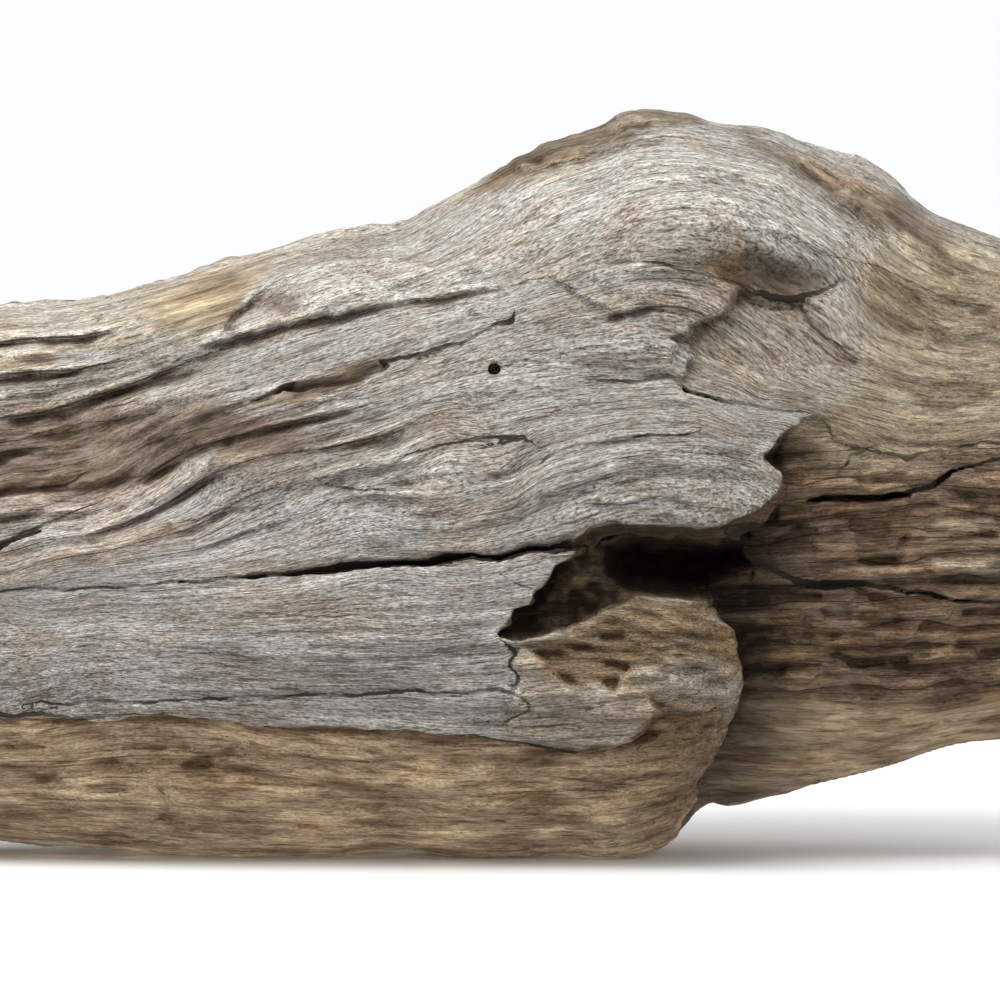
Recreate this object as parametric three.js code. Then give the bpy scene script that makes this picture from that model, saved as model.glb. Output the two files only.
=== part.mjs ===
// A piece of driftwood: one weathered chunk of a trunk, lying as it came to rest.
//
// Frame, in millimetres: +X along the grain, +Y from the show face towards the back,
// +Z up. The origin is under the middle of the wood, on the surface that it rests on.
//
// The wood is one closed skin over oval sections that follow a crest line, a keel line and
// a front and a back depth. The sections close on a worn end at each side. Broken-out
// patches, split lines and long water-worn flutes are then sunk into that skin.

import * as THREE from "three";
import { ParametricGeometry } from "three/addons/geometries/ParametricGeometry.js";
import { mergeVertices } from "three/addons/utils/BufferGeometryUtils.js";

// Driving dimensions.
const LENGTH = 428;
const END_X = LENGTH / 2;
const FOOT_CUT = 2.6; // worn off the keel where the wood stands
const END_ROUNDING = 34; // length of the worn nose at each end
const NOSE_BLUNTNESS = 0.8; // 1 is a round nose, less is flatter at its tip

// Mesh fineness: rings along the grain and rows around it.
const RINGS = 64;
const ROWS = 88;
const FRONT_CROWDING = 0.22; // how far the rows are drawn round to the show face
const NOSE_RINGS_SHARE = 0.09; // share of the rings that each nose takes
const JOIN_DISTANCE = 1e-3; // corners closer than this are one corner
const CARVING_FADE = 0.45; // carving fades out over this outer share of the section
const LEAST_WALL = 0.18; // share of the depth that carving always leaves

// Section squareness: 2 is an ellipse, more is flatter.
const TOP_POWER = 2.2;
const FOOT_POWER = 2.35;

// The crest, seen from the front: [x, height].
const CREST = [
  [-214, 181], [-175, 191], [-145, 193], [-114, 201], [-83, 210], [-54, 217],
  [-31, 222], [-17, 229], [0, 239], [17, 248], [35, 253], [44, 258],
  [52, 259], [63, 258], [72, 255], [93, 252], [105, 248], [116, 244],
  [127, 241], [137, 235], [147, 226], [158, 220], [175, 213], [214, 192],
];

// The keel, seen from the front: [x, height].
const KEEL = [
  [-214, 12], [-175, 7], [-144, 5], [-114, 2], [-87, 0], [-60, 1],
  [-35, 4], [-14, 1], [0, 0], [24, 2], [37, 0], [50, 2],
  [58, 6], [65, 12], [70, 18], [84, 20], [96, 23], [112, 27],
  [136, 33], [157, 40], [175, 43], [214, 58],
];

// Depth of the wood from its middle plane to the show face and to the back: [x, depth].
const FRONT_DEPTH = [
  [-214, 66], [-150, 78], [-70, 88], [10, 94], [60, 93], [110, 84],
  [160, 72], [214, 60],
];
const BACK_DEPTH = [
  [-214, 58], [-150, 74], [-80, 82], [-20, 92], [40, 95], [110, 86],
  [160, 74], [214, 62],
];

// How deep the rotted heart lies under the skin: deep by the shell's lip, shallow far from it.
const HEART_DEPTH = [
  [60, 24], [84, 20], [95, 15], [112, 11], [134, 8], [168, 5], [214, 4],
];

// Patches broken out of the show face: an outline of [x, z], how deep along x, and how wide
// the slope at the edge is.
const BROKEN_PATCHES = [
  {
    // the rotted heart, laid bare to the right of the overhanging shell
    outline: [
      [91, 134], [90, 146], [108, 151], [116, 142], [170, 145], [240, 150],
      [240, -20], [62, -20], [62, 11], [72, 36], [81, 58], [78, 78],
      [68, 88], [70, 104], [84, 122],
    ],
    depth: lineThrough(HEART_DEPTH),
    slope: 16,
  },
  {
    // the hollow under the shell
    outline: [
      [24, 108], [37, 115], [62, 114], [84, 114], [80, 94], [48, 91],
      [34, 87], [20, 82], [1, 78], [13, 94],
    ],
    depth: () => 26,
    slope: 16,
  },
  {
    // the lower flank, worn back under the grey boards
    outline: [
      [-240, 51], [-110, 53], [-60, 49], [-10, 44], [40, 39], [54, 46],
      [62, 30], [60, -20], [-240, -20],
    ],
    depth: () => 7,
    slope: 6,
  },
  {
    // the sunken bay under the dome
    outline: [
      [50, 200], [78, 195], [100, 190], [116, 192], [122, 172], [112, 158],
      [94, 155], [74, 158], [57, 166], [60, 178], [72, 188],
    ],
    depth: () => 5,
    slope: 9,
  },
];

// Long flutes and open splits: a line of [x, z], half its width, and how deep.
const FLUTES = [
  { line: [[-240, 96], [-168, 106], [-145, 114], [-100, 134]], half: 8, depth: 7 },
  { line: [[-240, 150], [-168, 164], [-120, 172], [-70, 180]], half: 8, depth: 6 },
  { line: [[-72, 161], [-45, 167], [-20, 173], [5, 184]], half: 5, depth: 6 },
  { line: [[-104, 180], [-66, 184], [-20, 192], [18, 200]], half: 6, depth: 5 },
  { line: [[-140, 95], [-80, 99], [-30, 103], [22, 107]], half: 4, depth: 7 },
];

// The same for the back, seen through the wood from the front.
const BACK_FLUTES = [
  { line: [[-240, 120], [-120, 132], [-20, 150], [60, 152]], half: 15, depth: 12 },
  { line: [[-90, 60], [0, 66], [90, 84], [240, 92]], half: 12, depth: 10 },
  { line: [[-20, 204], [60, 210], [120, 196], [190, 170]], half: 10, depth: 8 },
];

const sunWorn = new THREE.MeshStandardMaterial({
  color: 0x9a8f7f,
  roughness: 0.92,
  metalness: 0,
});

// A smooth line through [x, value] pairs, as a function of x.
function lineThrough(pairs) {
  const curve = new THREE.CubicInterpolant(
    pairs.map((pair) => pair[0]),
    pairs.map((pair) => pair[1]),
    1,
    [0],
  );
  return (x) => curve.evaluate(x)[0];
}

const crestAt = lineThrough(CREST);
const keelAt = lineThrough(KEEL);
const frontAt = lineThrough(FRONT_DEPTH);
const backAt = lineThrough(BACK_DEPTH);

const segment = new THREE.Line3();
const nearest = new THREE.Vector3();
const probe = new THREE.Vector3();

// Distance from [x, z] to the nearest point of a line of [x, z] points.
function distanceToLine(x, z, line, closed = false) {
  probe.set(x, z, 0);
  let best = Infinity;
  const last = closed ? line.length : line.length - 1;
  for (let i = 0; i < last; i++) {
    const [startX, startZ] = line[i];
    const [endX, endZ] = line[(i + 1) % line.length];
    segment.start.set(startX, startZ, 0);
    segment.end.set(endX, endZ, 0);
    segment.closestPointToPoint(probe, true, nearest);
    best = Math.min(best, nearest.distanceTo(probe));
  }
  return best;
}

function isInside(x, z, outline) {
  let inside = false;
  outline.forEach(([ax, az], i) => {
    const [bx, bz] = outline[(i + 1) % outline.length];
    const crosses = az > z !== bz > z && x < ((bx - ax) * (z - az)) / (bz - az) + ax;
    if (crosses) inside = !inside;
  });
  return inside;
}

// How far a patch sinks the skin at [x, z]: nothing outside, its depth well inside.
function patchDepth(x, z, { outline, depth, slope }) {
  const away = distanceToLine(x, z, outline, true);
  const signed = isInside(x, z, outline) ? away : -away;
  return depth(x) * THREE.MathUtils.smoothstep(signed, -slope / 2, slope / 2);
}

function fluteDepth(x, z, { line, half, depth }) {
  const away = distanceToLine(x, z, line) / half;
  return depth * Math.exp(-away * away);
}

// Slow swellings of the surface, so that no face is an exact oval: two waves, each with a
// height and its lengths along x and z.
const BROAD_SWELL = { height: 2.4, alongX: 41, alongZ: 27 };
const SLANT_SWELL = { height: 1.5, alongX: 19, alongZ: 23 };
const SIDE_SHIFT = 1.7; // keeps the back from repeating the show face

function swelling(x, z, side) {
  const shift = side * SIDE_SHIFT;
  const broad =
    Math.sin(x / BROAD_SWELL.alongX + shift) * Math.cos(z / BROAD_SWELL.alongZ - shift);
  const slant = Math.sin(x / SLANT_SWELL.alongX - z / SLANT_SWELL.alongZ + 2 * shift);
  return BROAD_SWELL.height * broad + SLANT_SWELL.height * slant;
}

// How far the skin is sunk into the wood at [x, z] on one side, 1 front or -1 back.
function carving(x, z, side) {
  const patches = side > 0 ? BROKEN_PATCHES : [];
  const flutes = side > 0 ? FLUTES : BACK_FLUTES;
  const sunk = patches.map((patch) => patchDepth(x, z, patch));
  const fluted = flutes.map((flute) => fluteDepth(x, z, flute));
  return Math.max(0, ...sunk) + Math.max(0, ...fluted) + swelling(x, z, side);
}

// Where along the wood a ring lies, and its share of the section's full size: rings crowd
// round the worn nose at each end and are evenly spaced between.
function station(along) {
  const fromEnd = Math.min(along, 1 - along);
  const nose = Math.min(1, fromEnd / NOSE_RINGS_SHARE) * (Math.PI / 2);
  const body = Math.max(0, fromEnd - NOSE_RINGS_SHARE) / (0.5 - NOSE_RINGS_SHARE);
  const inFromTip =
    END_ROUNDING * (1 - Math.cos(nose)) + (END_X - END_ROUNDING) * body;
  const x = inFromTip - END_X;
  return { x: along < 0.5 ? x : -x, share: Math.sin(nose) ** NOSE_BLUNTNESS };
}

const signedPower = (value, power) =>
  Math.sign(value) * Math.abs(value) ** power;

// The skin over its two parameters: along, from the left end to the right, and around,
// from the back, over the crest, down the show face and under the keel. Rows lie closer
// together on the show face, where the carving is finest.
function skinPoint(around, along, target) {
  const { x, share } = station(along);
  const turn = 2 * Math.PI * around;
  const angle = turn + 2 * FRONT_CROWDING * Math.sin(turn);
  const forward = -Math.cos(angle);
  const up = Math.sin(angle);

  const crest = crestAt(x);
  const keel = keelAt(x) - FOOT_CUT;
  const middle = (crest + keel) / 2;
  const halfHeight = ((crest - keel) / 2) * share;
  const side = forward > 0 ? 1 : -1;
  const depth = (side > 0 ? frontAt(x) : backAt(x)) * share;
  const power = 2 / (up > 0 ? TOP_POWER : FOOT_POWER);

  const z = middle + halfHeight * signedPower(up, power);
  const outward = depth * Math.abs(forward) ** power;
  const carved = carving(x, z, side) * Math.min(1, (Math.abs(forward) * share) / CARVING_FADE);
  const y = -side * Math.max(outward - carved, LEAST_WALL * outward);
  target.set(x, y, Math.max(z, 0));
}

// The parametric sheet as one closed skin. Its seam is joined, each cell is split along its
// shorter diagonal, which keeps steep walls even, and the triangles lost at its two tips go.
function closedSkin() {
  const sheet = new ParametricGeometry(skinPoint, ROWS, RINGS);
  sheet.deleteAttribute("normal");
  sheet.deleteAttribute("uv");
  const skin = mergeVertices(sheet, JOIN_DISTANCE);
  const corners = skin.index.array;
  const kept = [];
  for (let i = 0; i < corners.length; i += 6) {
    const [a, b, d, , c] = corners.slice(i, i + 6);
    const triangles =
      lengthBetween(skin, a, c) < lengthBetween(skin, b, d)
        ? [[a, b, c], [a, c, d]]
        : [[a, b, d], [b, c, d]];
    const whole = triangles.filter((triangle) => new Set(triangle).size === 3);
    kept.push(...whole.flat());
  }
  skin.setIndex(kept);
  skin.computeVertexNormals();
  return skin;
}

function lengthBetween(geometry, first, second) {
  const position = geometry.attributes.position;
  nearest.fromBufferAttribute(position, first);
  return probe.fromBufferAttribute(position, second).distanceTo(nearest);
}

const driftwood = new THREE.Group();
const wood = new THREE.Mesh(closedSkin(), sunWorn);
wood.name = "driftwood";
driftwood.add(wood);

export default driftwood;
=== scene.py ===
"""A weathered piece of driftwood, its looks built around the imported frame.

Lengths are worked in millimetres of the frame and turned to metres in each mesh.
+X runs along the grain, the show face looks towards -Y, and +Z is up.
"""

import math

import bpy
import numpy as np
import openvdb
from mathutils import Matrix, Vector


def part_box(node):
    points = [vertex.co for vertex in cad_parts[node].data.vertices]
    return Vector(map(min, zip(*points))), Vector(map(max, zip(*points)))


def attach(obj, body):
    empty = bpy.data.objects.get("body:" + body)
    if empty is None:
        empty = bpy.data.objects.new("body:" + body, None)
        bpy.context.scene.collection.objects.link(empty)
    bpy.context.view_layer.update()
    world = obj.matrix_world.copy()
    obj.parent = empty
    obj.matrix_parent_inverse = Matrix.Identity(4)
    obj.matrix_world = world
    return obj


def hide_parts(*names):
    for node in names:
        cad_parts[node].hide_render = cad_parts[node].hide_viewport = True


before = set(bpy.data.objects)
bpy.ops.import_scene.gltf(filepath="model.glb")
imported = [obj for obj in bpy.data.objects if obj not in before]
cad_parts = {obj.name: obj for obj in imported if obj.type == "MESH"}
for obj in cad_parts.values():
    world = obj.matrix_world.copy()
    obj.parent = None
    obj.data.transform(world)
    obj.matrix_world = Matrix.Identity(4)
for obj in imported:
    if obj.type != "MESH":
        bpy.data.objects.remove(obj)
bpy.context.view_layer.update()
scene = bpy.context.scene

# ---------------------------------------------------------------------------
# The camera stands level with the middle of the wood and looks straight at the
# show face, from far enough away for a calm perspective.
# ---------------------------------------------------------------------------
wood_low, wood_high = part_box("driftwood")
DESIGN_LENGTH = 428.0
MM = (wood_high.x - wood_low.x) / DESIGN_LENGTH
LENS = 150.0
SENSOR = 36.0
SHOWN_WIDTH = 350.0
EYE_HEIGHT = 123.5

lens_data = bpy.data.cameras.new("studio_camera")
lens_data.lens = LENS
lens_data.sensor_width = SENSOR
lens_data.clip_end = 20.0
studio_camera = bpy.data.objects.new("studio_camera", lens_data)
scene.collection.objects.link(studio_camera)
studio_camera.location = (0.0, -SHOWN_WIDTH * LENS / SENSOR * MM, EYE_HEIGHT * MM)
studio_camera.rotation_euler = (math.pi / 2, 0.0, 0.0)
scene.camera = studio_camera

# ---------------------------------------------------------------------------
# The wood: one chunk of an old trunk. Water took the bark and the soft wood, the sun
# turned its skin grey, and the rotted heart broke open under a hard overhanging shell.
# It is grown in one piece and only worn, so it is one closed skin.
# ---------------------------------------------------------------------------
VOXEL = 0.8
FACES_SHOWN = 142_000  # on the show face and the front half of the crest
FACES_BEHIND = 52_000  # on the back half
CREASE = 50  # degrees: a sharper turn between faces stays a hard edge
HALF_LENGTH = DESIGN_LENGTH / 2
FOOT_CUT = 2.6  # worn off the keel where the wood stands
TOP_POWER = 2.2  # section squareness: 2 is an ellipse, more is flatter
FOOT_POWER = 2.35
WOOD_HEIGHT = 259
HALF_DEPTH = 98
MARGIN = 6.0
FAR = 9  # a distance too far from a cut or a torn edge for it to matter
NEAR_SURFACE = 4.0  # distances to the skin are kept only up to this

CREST = [
    (-214, 181), (-175, 191), (-145, 193), (-114, 201), (-83, 210), (-54, 217),
    (-31, 222), (-17, 229), (0, 239), (17, 248), (35, 253), (44, 258),
    (52, 259), (63, 258), (72, 255), (93, 252), (105, 248), (116, 244),
    (127, 241), (137, 235), (147, 226), (158, 220), (175, 213), (214, 192),
]
KEEL = [
    (-214, 12), (-175, 7), (-144, 5), (-114, 2), (-87, 0), (-60, 1),
    (-35, 4), (-14, 1), (0, 0), (24, 2), (37, 0), (50, 2),
    (58, 6), (65, 12), (70, 18), (84, 20), (96, 23), (112, 27),
    (136, 33), (157, 40), (175, 43), (214, 58),
]
FRONT_DEPTH = [
    (-214, 66), (-150, 78), (-70, 88), (10, 94), (60, 93), (110, 84),
    (160, 72), (214, 60),
]
BACK_DEPTH = [
    (-214, 58), (-150, 74), (-80, 82), (-20, 92), (40, 95), (110, 86),
    (160, 74), (214, 62),
]

chance = np.random.default_rng(41)
LATTICE = chance.random((128, 128, 128), dtype=np.float32) * 2 - 1


def noise(a, b, c=0.0, straight=False):
    """Noise from -1 to 1 over three coordinates, each one cell to the unit, either smooth
    or in straight runs with sharp turns."""
    a, b, c = np.broadcast_arrays(
        np.asarray(a, np.float32), np.asarray(b, np.float32), np.asarray(c, np.float32)
    )
    cells = [np.floor(v) for v in (a, b, c)]
    ease = [v - f for v, f in zip((a, b, c), cells)]
    if not straight:
        ease = [t * t * (3 - 2 * t) for t in ease]
    near = [f.astype(np.int64) & 127 for f in cells]
    far = [(i + 1) & 127 for i in near]
    total = np.zeros(a.shape, np.float32)
    for i, wi in ((near[0], 1 - ease[0]), (far[0], ease[0])):
        for j, wj in ((near[1], 1 - ease[1]), (far[1], ease[1])):
            side = LATTICE[i, j, near[2]] * (1 - ease[2]) + LATTICE[i, j, far[2]] * ease[2]
            total += wi * wj * side
    return total


def toss(a, b=0.0):
    """A fixed random number from -1 to 1 for each pair of whole numbers."""
    i = np.asarray(a).astype(np.int64) & 127
    j = np.asarray(b).astype(np.int64) & 127
    return LATTICE[i, j, 5]


def rise(value, start, end):
    """0 up to start, 1 from end on, and smooth between."""
    t = np.clip((value - start) / (end - start), 0, 1)
    return t * t * (3 - 2 * t)


def mound(x, z, place):
    """A smooth hill: place is centre x, z, half widths, and its turn in degrees."""
    centre_x, centre_z, half_x, half_z, turn = place
    c = math.cos(math.radians(turn))
    s = math.sin(math.radians(turn))
    along = ((x - centre_x) * c + (z - centre_z) * s) / half_x
    across = ((z - centre_z) * c - (x - centre_x) * s) / half_z
    return np.exp(-(along**2 + across**2))


def smooth_line(points):
    """The value along x of a smooth line through [x, value] points."""
    at, value = np.array(points, float).T
    slope = np.gradient(value, at)

    def line(x):
        i = np.clip(np.searchsorted(at, x) - 1, 0, len(at) - 2)
        span = at[i + 1] - at[i]
        t = np.clip((x - at[i]) / span, 0, 1)
        start = value[i] * (1 + 2 * t) + slope[i] * span * t
        end = value[i + 1] * (3 - 2 * t) - slope[i + 1] * span * (1 - t)
        return start * (1 - t) ** 2 + end * t**2

    return line


def follow(line, x, z, closed=False):
    """Distance to a drawn line, the side of it (+1 is above a line that runs in +x),
    the share of the way along it, and the third value of its points."""
    points = np.array(line, float)
    if closed:
        points = np.vstack([points, points[:1]])
    runs = np.hypot(*np.diff(points[:, :2], axis=0).T)
    reached = np.concatenate([[0], np.cumsum(runs)]) / runs.sum()
    best = np.full(x.shape, 1e9, np.float32)
    side = np.ones(x.shape, np.float32)
    share = np.zeros(x.shape, np.float32)
    third = np.zeros(x.shape, np.float32)
    for i, run in enumerate(runs):
        start, end = points[i], points[i + 1]
        step = (end[:2] - start[:2]) / run
        off_x, off_z = x - start[0], z - start[1]
        along = np.clip((off_x * step[0] + off_z * step[1]) / run, 0, 1)
        away = np.hypot(off_x - step[0] * along * run, off_z - step[1] * along * run)
        nearer = away < best
        best = np.where(nearer, away, best)
        turned = np.where(off_z * step[0] - off_x * step[1] >= 0, 1.0, -1.0)
        side = np.where(nearer, turned, side)
        share = np.where(nearer, reached[i] + along * (reached[i + 1] - reached[i]), share)
        if points.shape[1] > 2:
            third = np.where(nearer, start[2] + along * (end[2] - start[2]), third)
    return best, side, share, third


def outline_distance(outline, x, z):
    """Distance to a closed outline, negative inside it."""
    away = follow(outline, x, z, closed=True)[0]
    inside = np.zeros(x.shape, bool)
    for (ax, az), (bx, bz) in zip(outline, outline[1:] + outline[:1]):
        if az != bz:
            crosses = (az > z) != (bz > z)
            inside ^= crosses & (x < (bx - ax) * (z - az) / (bz - az) + ax)
    return np.where(inside, -away, away)


# How the grain runs, seen from the front: each line of [x, z] is one growth layer, and
# its level is the height that layer would have in straight wood.
GRAIN = [
    (202, [(-179, 179), (-133, 184), (-100, 193), (-56, 208)]),
    (193, [(-206, 166), (-133, 173), (-66, 193), (-7, 218), (20, 230), (46, 236),
           (73, 236), (96, 230), (113, 218), (126, 203), (143, 193), (206, 185)]),
    (183, [(-166, 157), (-133, 162), (-66, 183), (0, 203), (27, 211), (53, 218),
           (80, 219), (100, 212), (113, 203), (123, 190), (139, 180), (166, 177)]),
    (175, [(-206, 140), (-133, 152), (-66, 173), (0, 190), (20, 196), (46, 203),
           (66, 203), (92, 194), (113, 182), (126, 170), (146, 165), (206, 163)]),
    (165, [(-166, 132), (-100, 152), (-33, 172), (0, 182), (20, 187), (46, 192),
           (66, 190), (80, 182), (93, 172), (110, 162), (133, 157), (166, 156)]),
    (155, [(-166, 120), (-100, 142), (-33, 161), (-7, 169), (20, 175), (46, 178),
           (63, 175), (80, 165), (100, 157), (116, 153), (166, 150)]),
    (146, [(-206, 104), (-166, 110), (-100, 133), (-33, 152), (20, 162), (46, 163),
           (66, 160), (86, 153), (110, 148), (206, 141)]),
    (137, [(-166, 102), (-133, 109), (-66, 133), (-7, 148), (33, 155), (60, 157),
           (86, 150), (116, 138), (166, 135)]),
    (130, [(-166, 99), (-100, 112), (-40, 133), (-17, 141), (7, 143), (20, 147),
           (40, 151), (66, 152), (90, 147), (116, 130), (166, 127)]),
    (122, [(-166, 95), (-100, 106), (-66, 117), (-40, 126), (-17, 126), (3, 130),
           (13, 137), (33, 143), (60, 145), (86, 142), (116, 122), (166, 119)]),
    (113, [(-100, 102), (-33, 115), (-7, 119), (13, 127), (33, 133), (60, 136),
           (86, 133), (116, 114), (166, 110)]),
    (105, [(-206, 93), (-133, 95), (-66, 103), (-7, 109), (20, 117), (40, 124),
           (66, 125), (86, 122), (116, 104), (206, 102)]),
    (95, [(-166, 90), (-33, 100), (20, 104), (46, 104), (80, 100), (166, 94)]),
    (84, [(-166, 82), (-33, 86), (7, 90), (33, 90), (66, 87), (166, 83)]),
    (70, [(-206, 70), (-33, 72), (7, 74), (33, 75), (66, 74), (206, 73)]),
    (57, [(-166, 55), (-33, 59), (33, 60), (116, 59), (166, 60)]),
    (42, [(-206, 43), (-33, 40), (17, 40), (80, 45), (116, 47), (206, 57)]),
    (27, [(-166, 27), (-33, 24), (17, 24), (80, 32), (116, 37), (166, 47)]),
    (11, [(-206, 16), (-100, 11), (33, 8), (66, 17), (116, 31), (206, 49)]),
]
GRAIN_EASE = 2e-4  # how far the fitted layers may leave the drawn ones
GRAIN_LEFT = -224
GRAIN_BASE = -12
GRAIN_STEP = 4.0


def grain_field():
    """A function of x and z giving the grain's level: a thin sheet bent over GRAIN."""
    spots, levels = [], []
    for level, line in GRAIN:
        spots += line
        levels += [level] * len(line)
    spots = np.array(spots, float) / 100
    levels = np.array(levels, float)

    def bend(at):
        apart = np.sum((at[:, None] - spots[None]) ** 2, axis=2)
        return 0.5 * apart * np.log(apart + 1e-12)

    count = len(spots)
    plane = np.column_stack([np.ones(count), spots])
    system = np.zeros((count + 3, count + 3))
    system[:count, :count] = bend(spots) + GRAIN_EASE * np.eye(count)
    system[:count, count:] = plane
    system[count:, :count] = plane.T
    weights = np.linalg.solve(system, np.concatenate([levels, np.zeros(3)]))

    coarse_x = np.arange(GRAIN_LEFT, 225, GRAIN_STEP)
    coarse_z = np.arange(GRAIN_BASE, 277, GRAIN_STEP)
    grid = np.stack(np.meshgrid(coarse_x, coarse_z, indexing="ij"), -1).reshape(-1, 2)
    flat = np.column_stack([np.ones(len(grid)), grid / 100])
    fitted = bend(grid / 100) @ weights[:count] + flat @ weights[count:]
    fitted = fitted.reshape(len(coarse_x), len(coarse_z))

    def level_at(x, z):
        i = np.clip((x - GRAIN_LEFT) / GRAIN_STEP, 0, len(coarse_x) - 1.001)
        j = np.clip((z - GRAIN_BASE) / GRAIN_STEP, 0, len(coarse_z) - 1.001)
        i0, j0 = np.floor(i).astype(int), np.floor(j).astype(int)
        u, v = i - i0, j - j0
        under = fitted[i0, j0] * (1 - u) + fitted[i0 + 1, j0] * u
        over = fitted[i0, j0 + 1] * (1 - u) + fitted[i0 + 1, j0 + 1] * u
        return (under * (1 - v) + over * v).astype(np.float32)

    return level_at


level_at = grain_field()

# Swellings and hollows of the show face: centre x, z, half widths, turn, height.
SWELLS = [
    (53, 133, 43, 20, -5, 7),  # the shell's lip
    (-7, 117, 49, 20, 0, 4),  # the shell
    (-56, 77, 73, 18, 0, 4),  # the board
    (66, 221, 43, 25, 10, 8),  # the dome
    (92, 197, 20, 6, -8, -5),  # under the dome
    (56, 69, 22, 20, 0, 6),  # the knob
    (33, 80, 13, 10, 0, -7),  # the knob's mouth
    (97, 170, 27, 17, 0, -4),  # the bay
    (-126, 130, 53, 18, -18, -7),  # the left valley
    (-56, 193, 23, 10, -15, 4),  # the bulge over the channel
    (-33, 27, 73, 13, 0, 3),  # the flank
    (-20, 135, 30, 8, 0, 2),  # the eye in the bend
    (150, 195, 30, 22, 0, 3),  # the right shoulder
]

# Broken layers, as a drop, the height over which it comes back out, and a line of [x, z].
# The wood above the line stands proud of the wood below it; a drop under 0 is the other
# way up, with the wood above sinking in behind a proud edge.
LEDGES = [
    (4.0, 6, [(-109, 170), (-88, 178), (-50, 186), (-17, 192), (15, 197)]),
    (2.5, 4, [(13, 198), (25, 193), (33, 187), (41, 183)]),
    (3.0, 5, [(-95, 176), (-88, 186), (-79, 195), (-62, 203)]),
    (3.0, 5, [(-214, 150), (-170, 157), (-140, 162)]),
    (2.0, 4, [(-190, 143), (-150, 150), (-120, 157)]),
    (2.5, 4, [(-214, 136), (-180, 139), (-150, 147), (-115, 152)]),
    (3.0, 4, [(-214, 124), (-175, 128), (-140, 137), (-95, 147)]),
    (2.5, 4, [(-180, 112), (-150, 122), (-120, 132), (-96, 138)]),
    (2.0, 4, [(-120, 112), (-80, 122), (-45, 136)]),
    (-3.5, 6, [(-44, 128), (-26, 126), (-7, 128), (2, 130), (9, 133), (13, 136), (20, 140)]),
    (-2.0, 4, [(-60, 155), (-20, 163), (10, 168)]),
    (1.5, 3, [(-70, 145), (-30, 154), (0, 160)]),
    (1.5, 3, [(12, 152), (40, 157), (75, 153)]),
    (1.8, 3, [(26, 121), (50, 124), (76, 120)]),
    (2.0, 3, [(34, 129), (58, 132), (82, 129)]),
    (1.6, 3, [(36, 137), (60, 140), (84, 136)]),
    (2.5, 5, [(101, 241), (105, 235), (116, 224), (128, 211)]),
    (2.0, 5, [(112, 205), (126, 200), (150, 190), (214, 180)]),
    (1.5, 4, [(120, 178), (150, 172), (214, 170)]),
    (2.0, 5, [(8, 234), (24, 239), (44, 245), (60, 247)]),
    (4.0, 7, [(46, 49), (54, 54), (63, 53), (72, 53), (84, 57)]),
    (-1.5, 4, [(-60, 24), (-20, 22), (20, 27), (50, 24)]),
    (1.5, 3, [(-100, 73), (-50, 71), (0, 73)]),
    (-1.2, 3, [(-90, 86), (-40, 84), (-10, 80)]),
]

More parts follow.
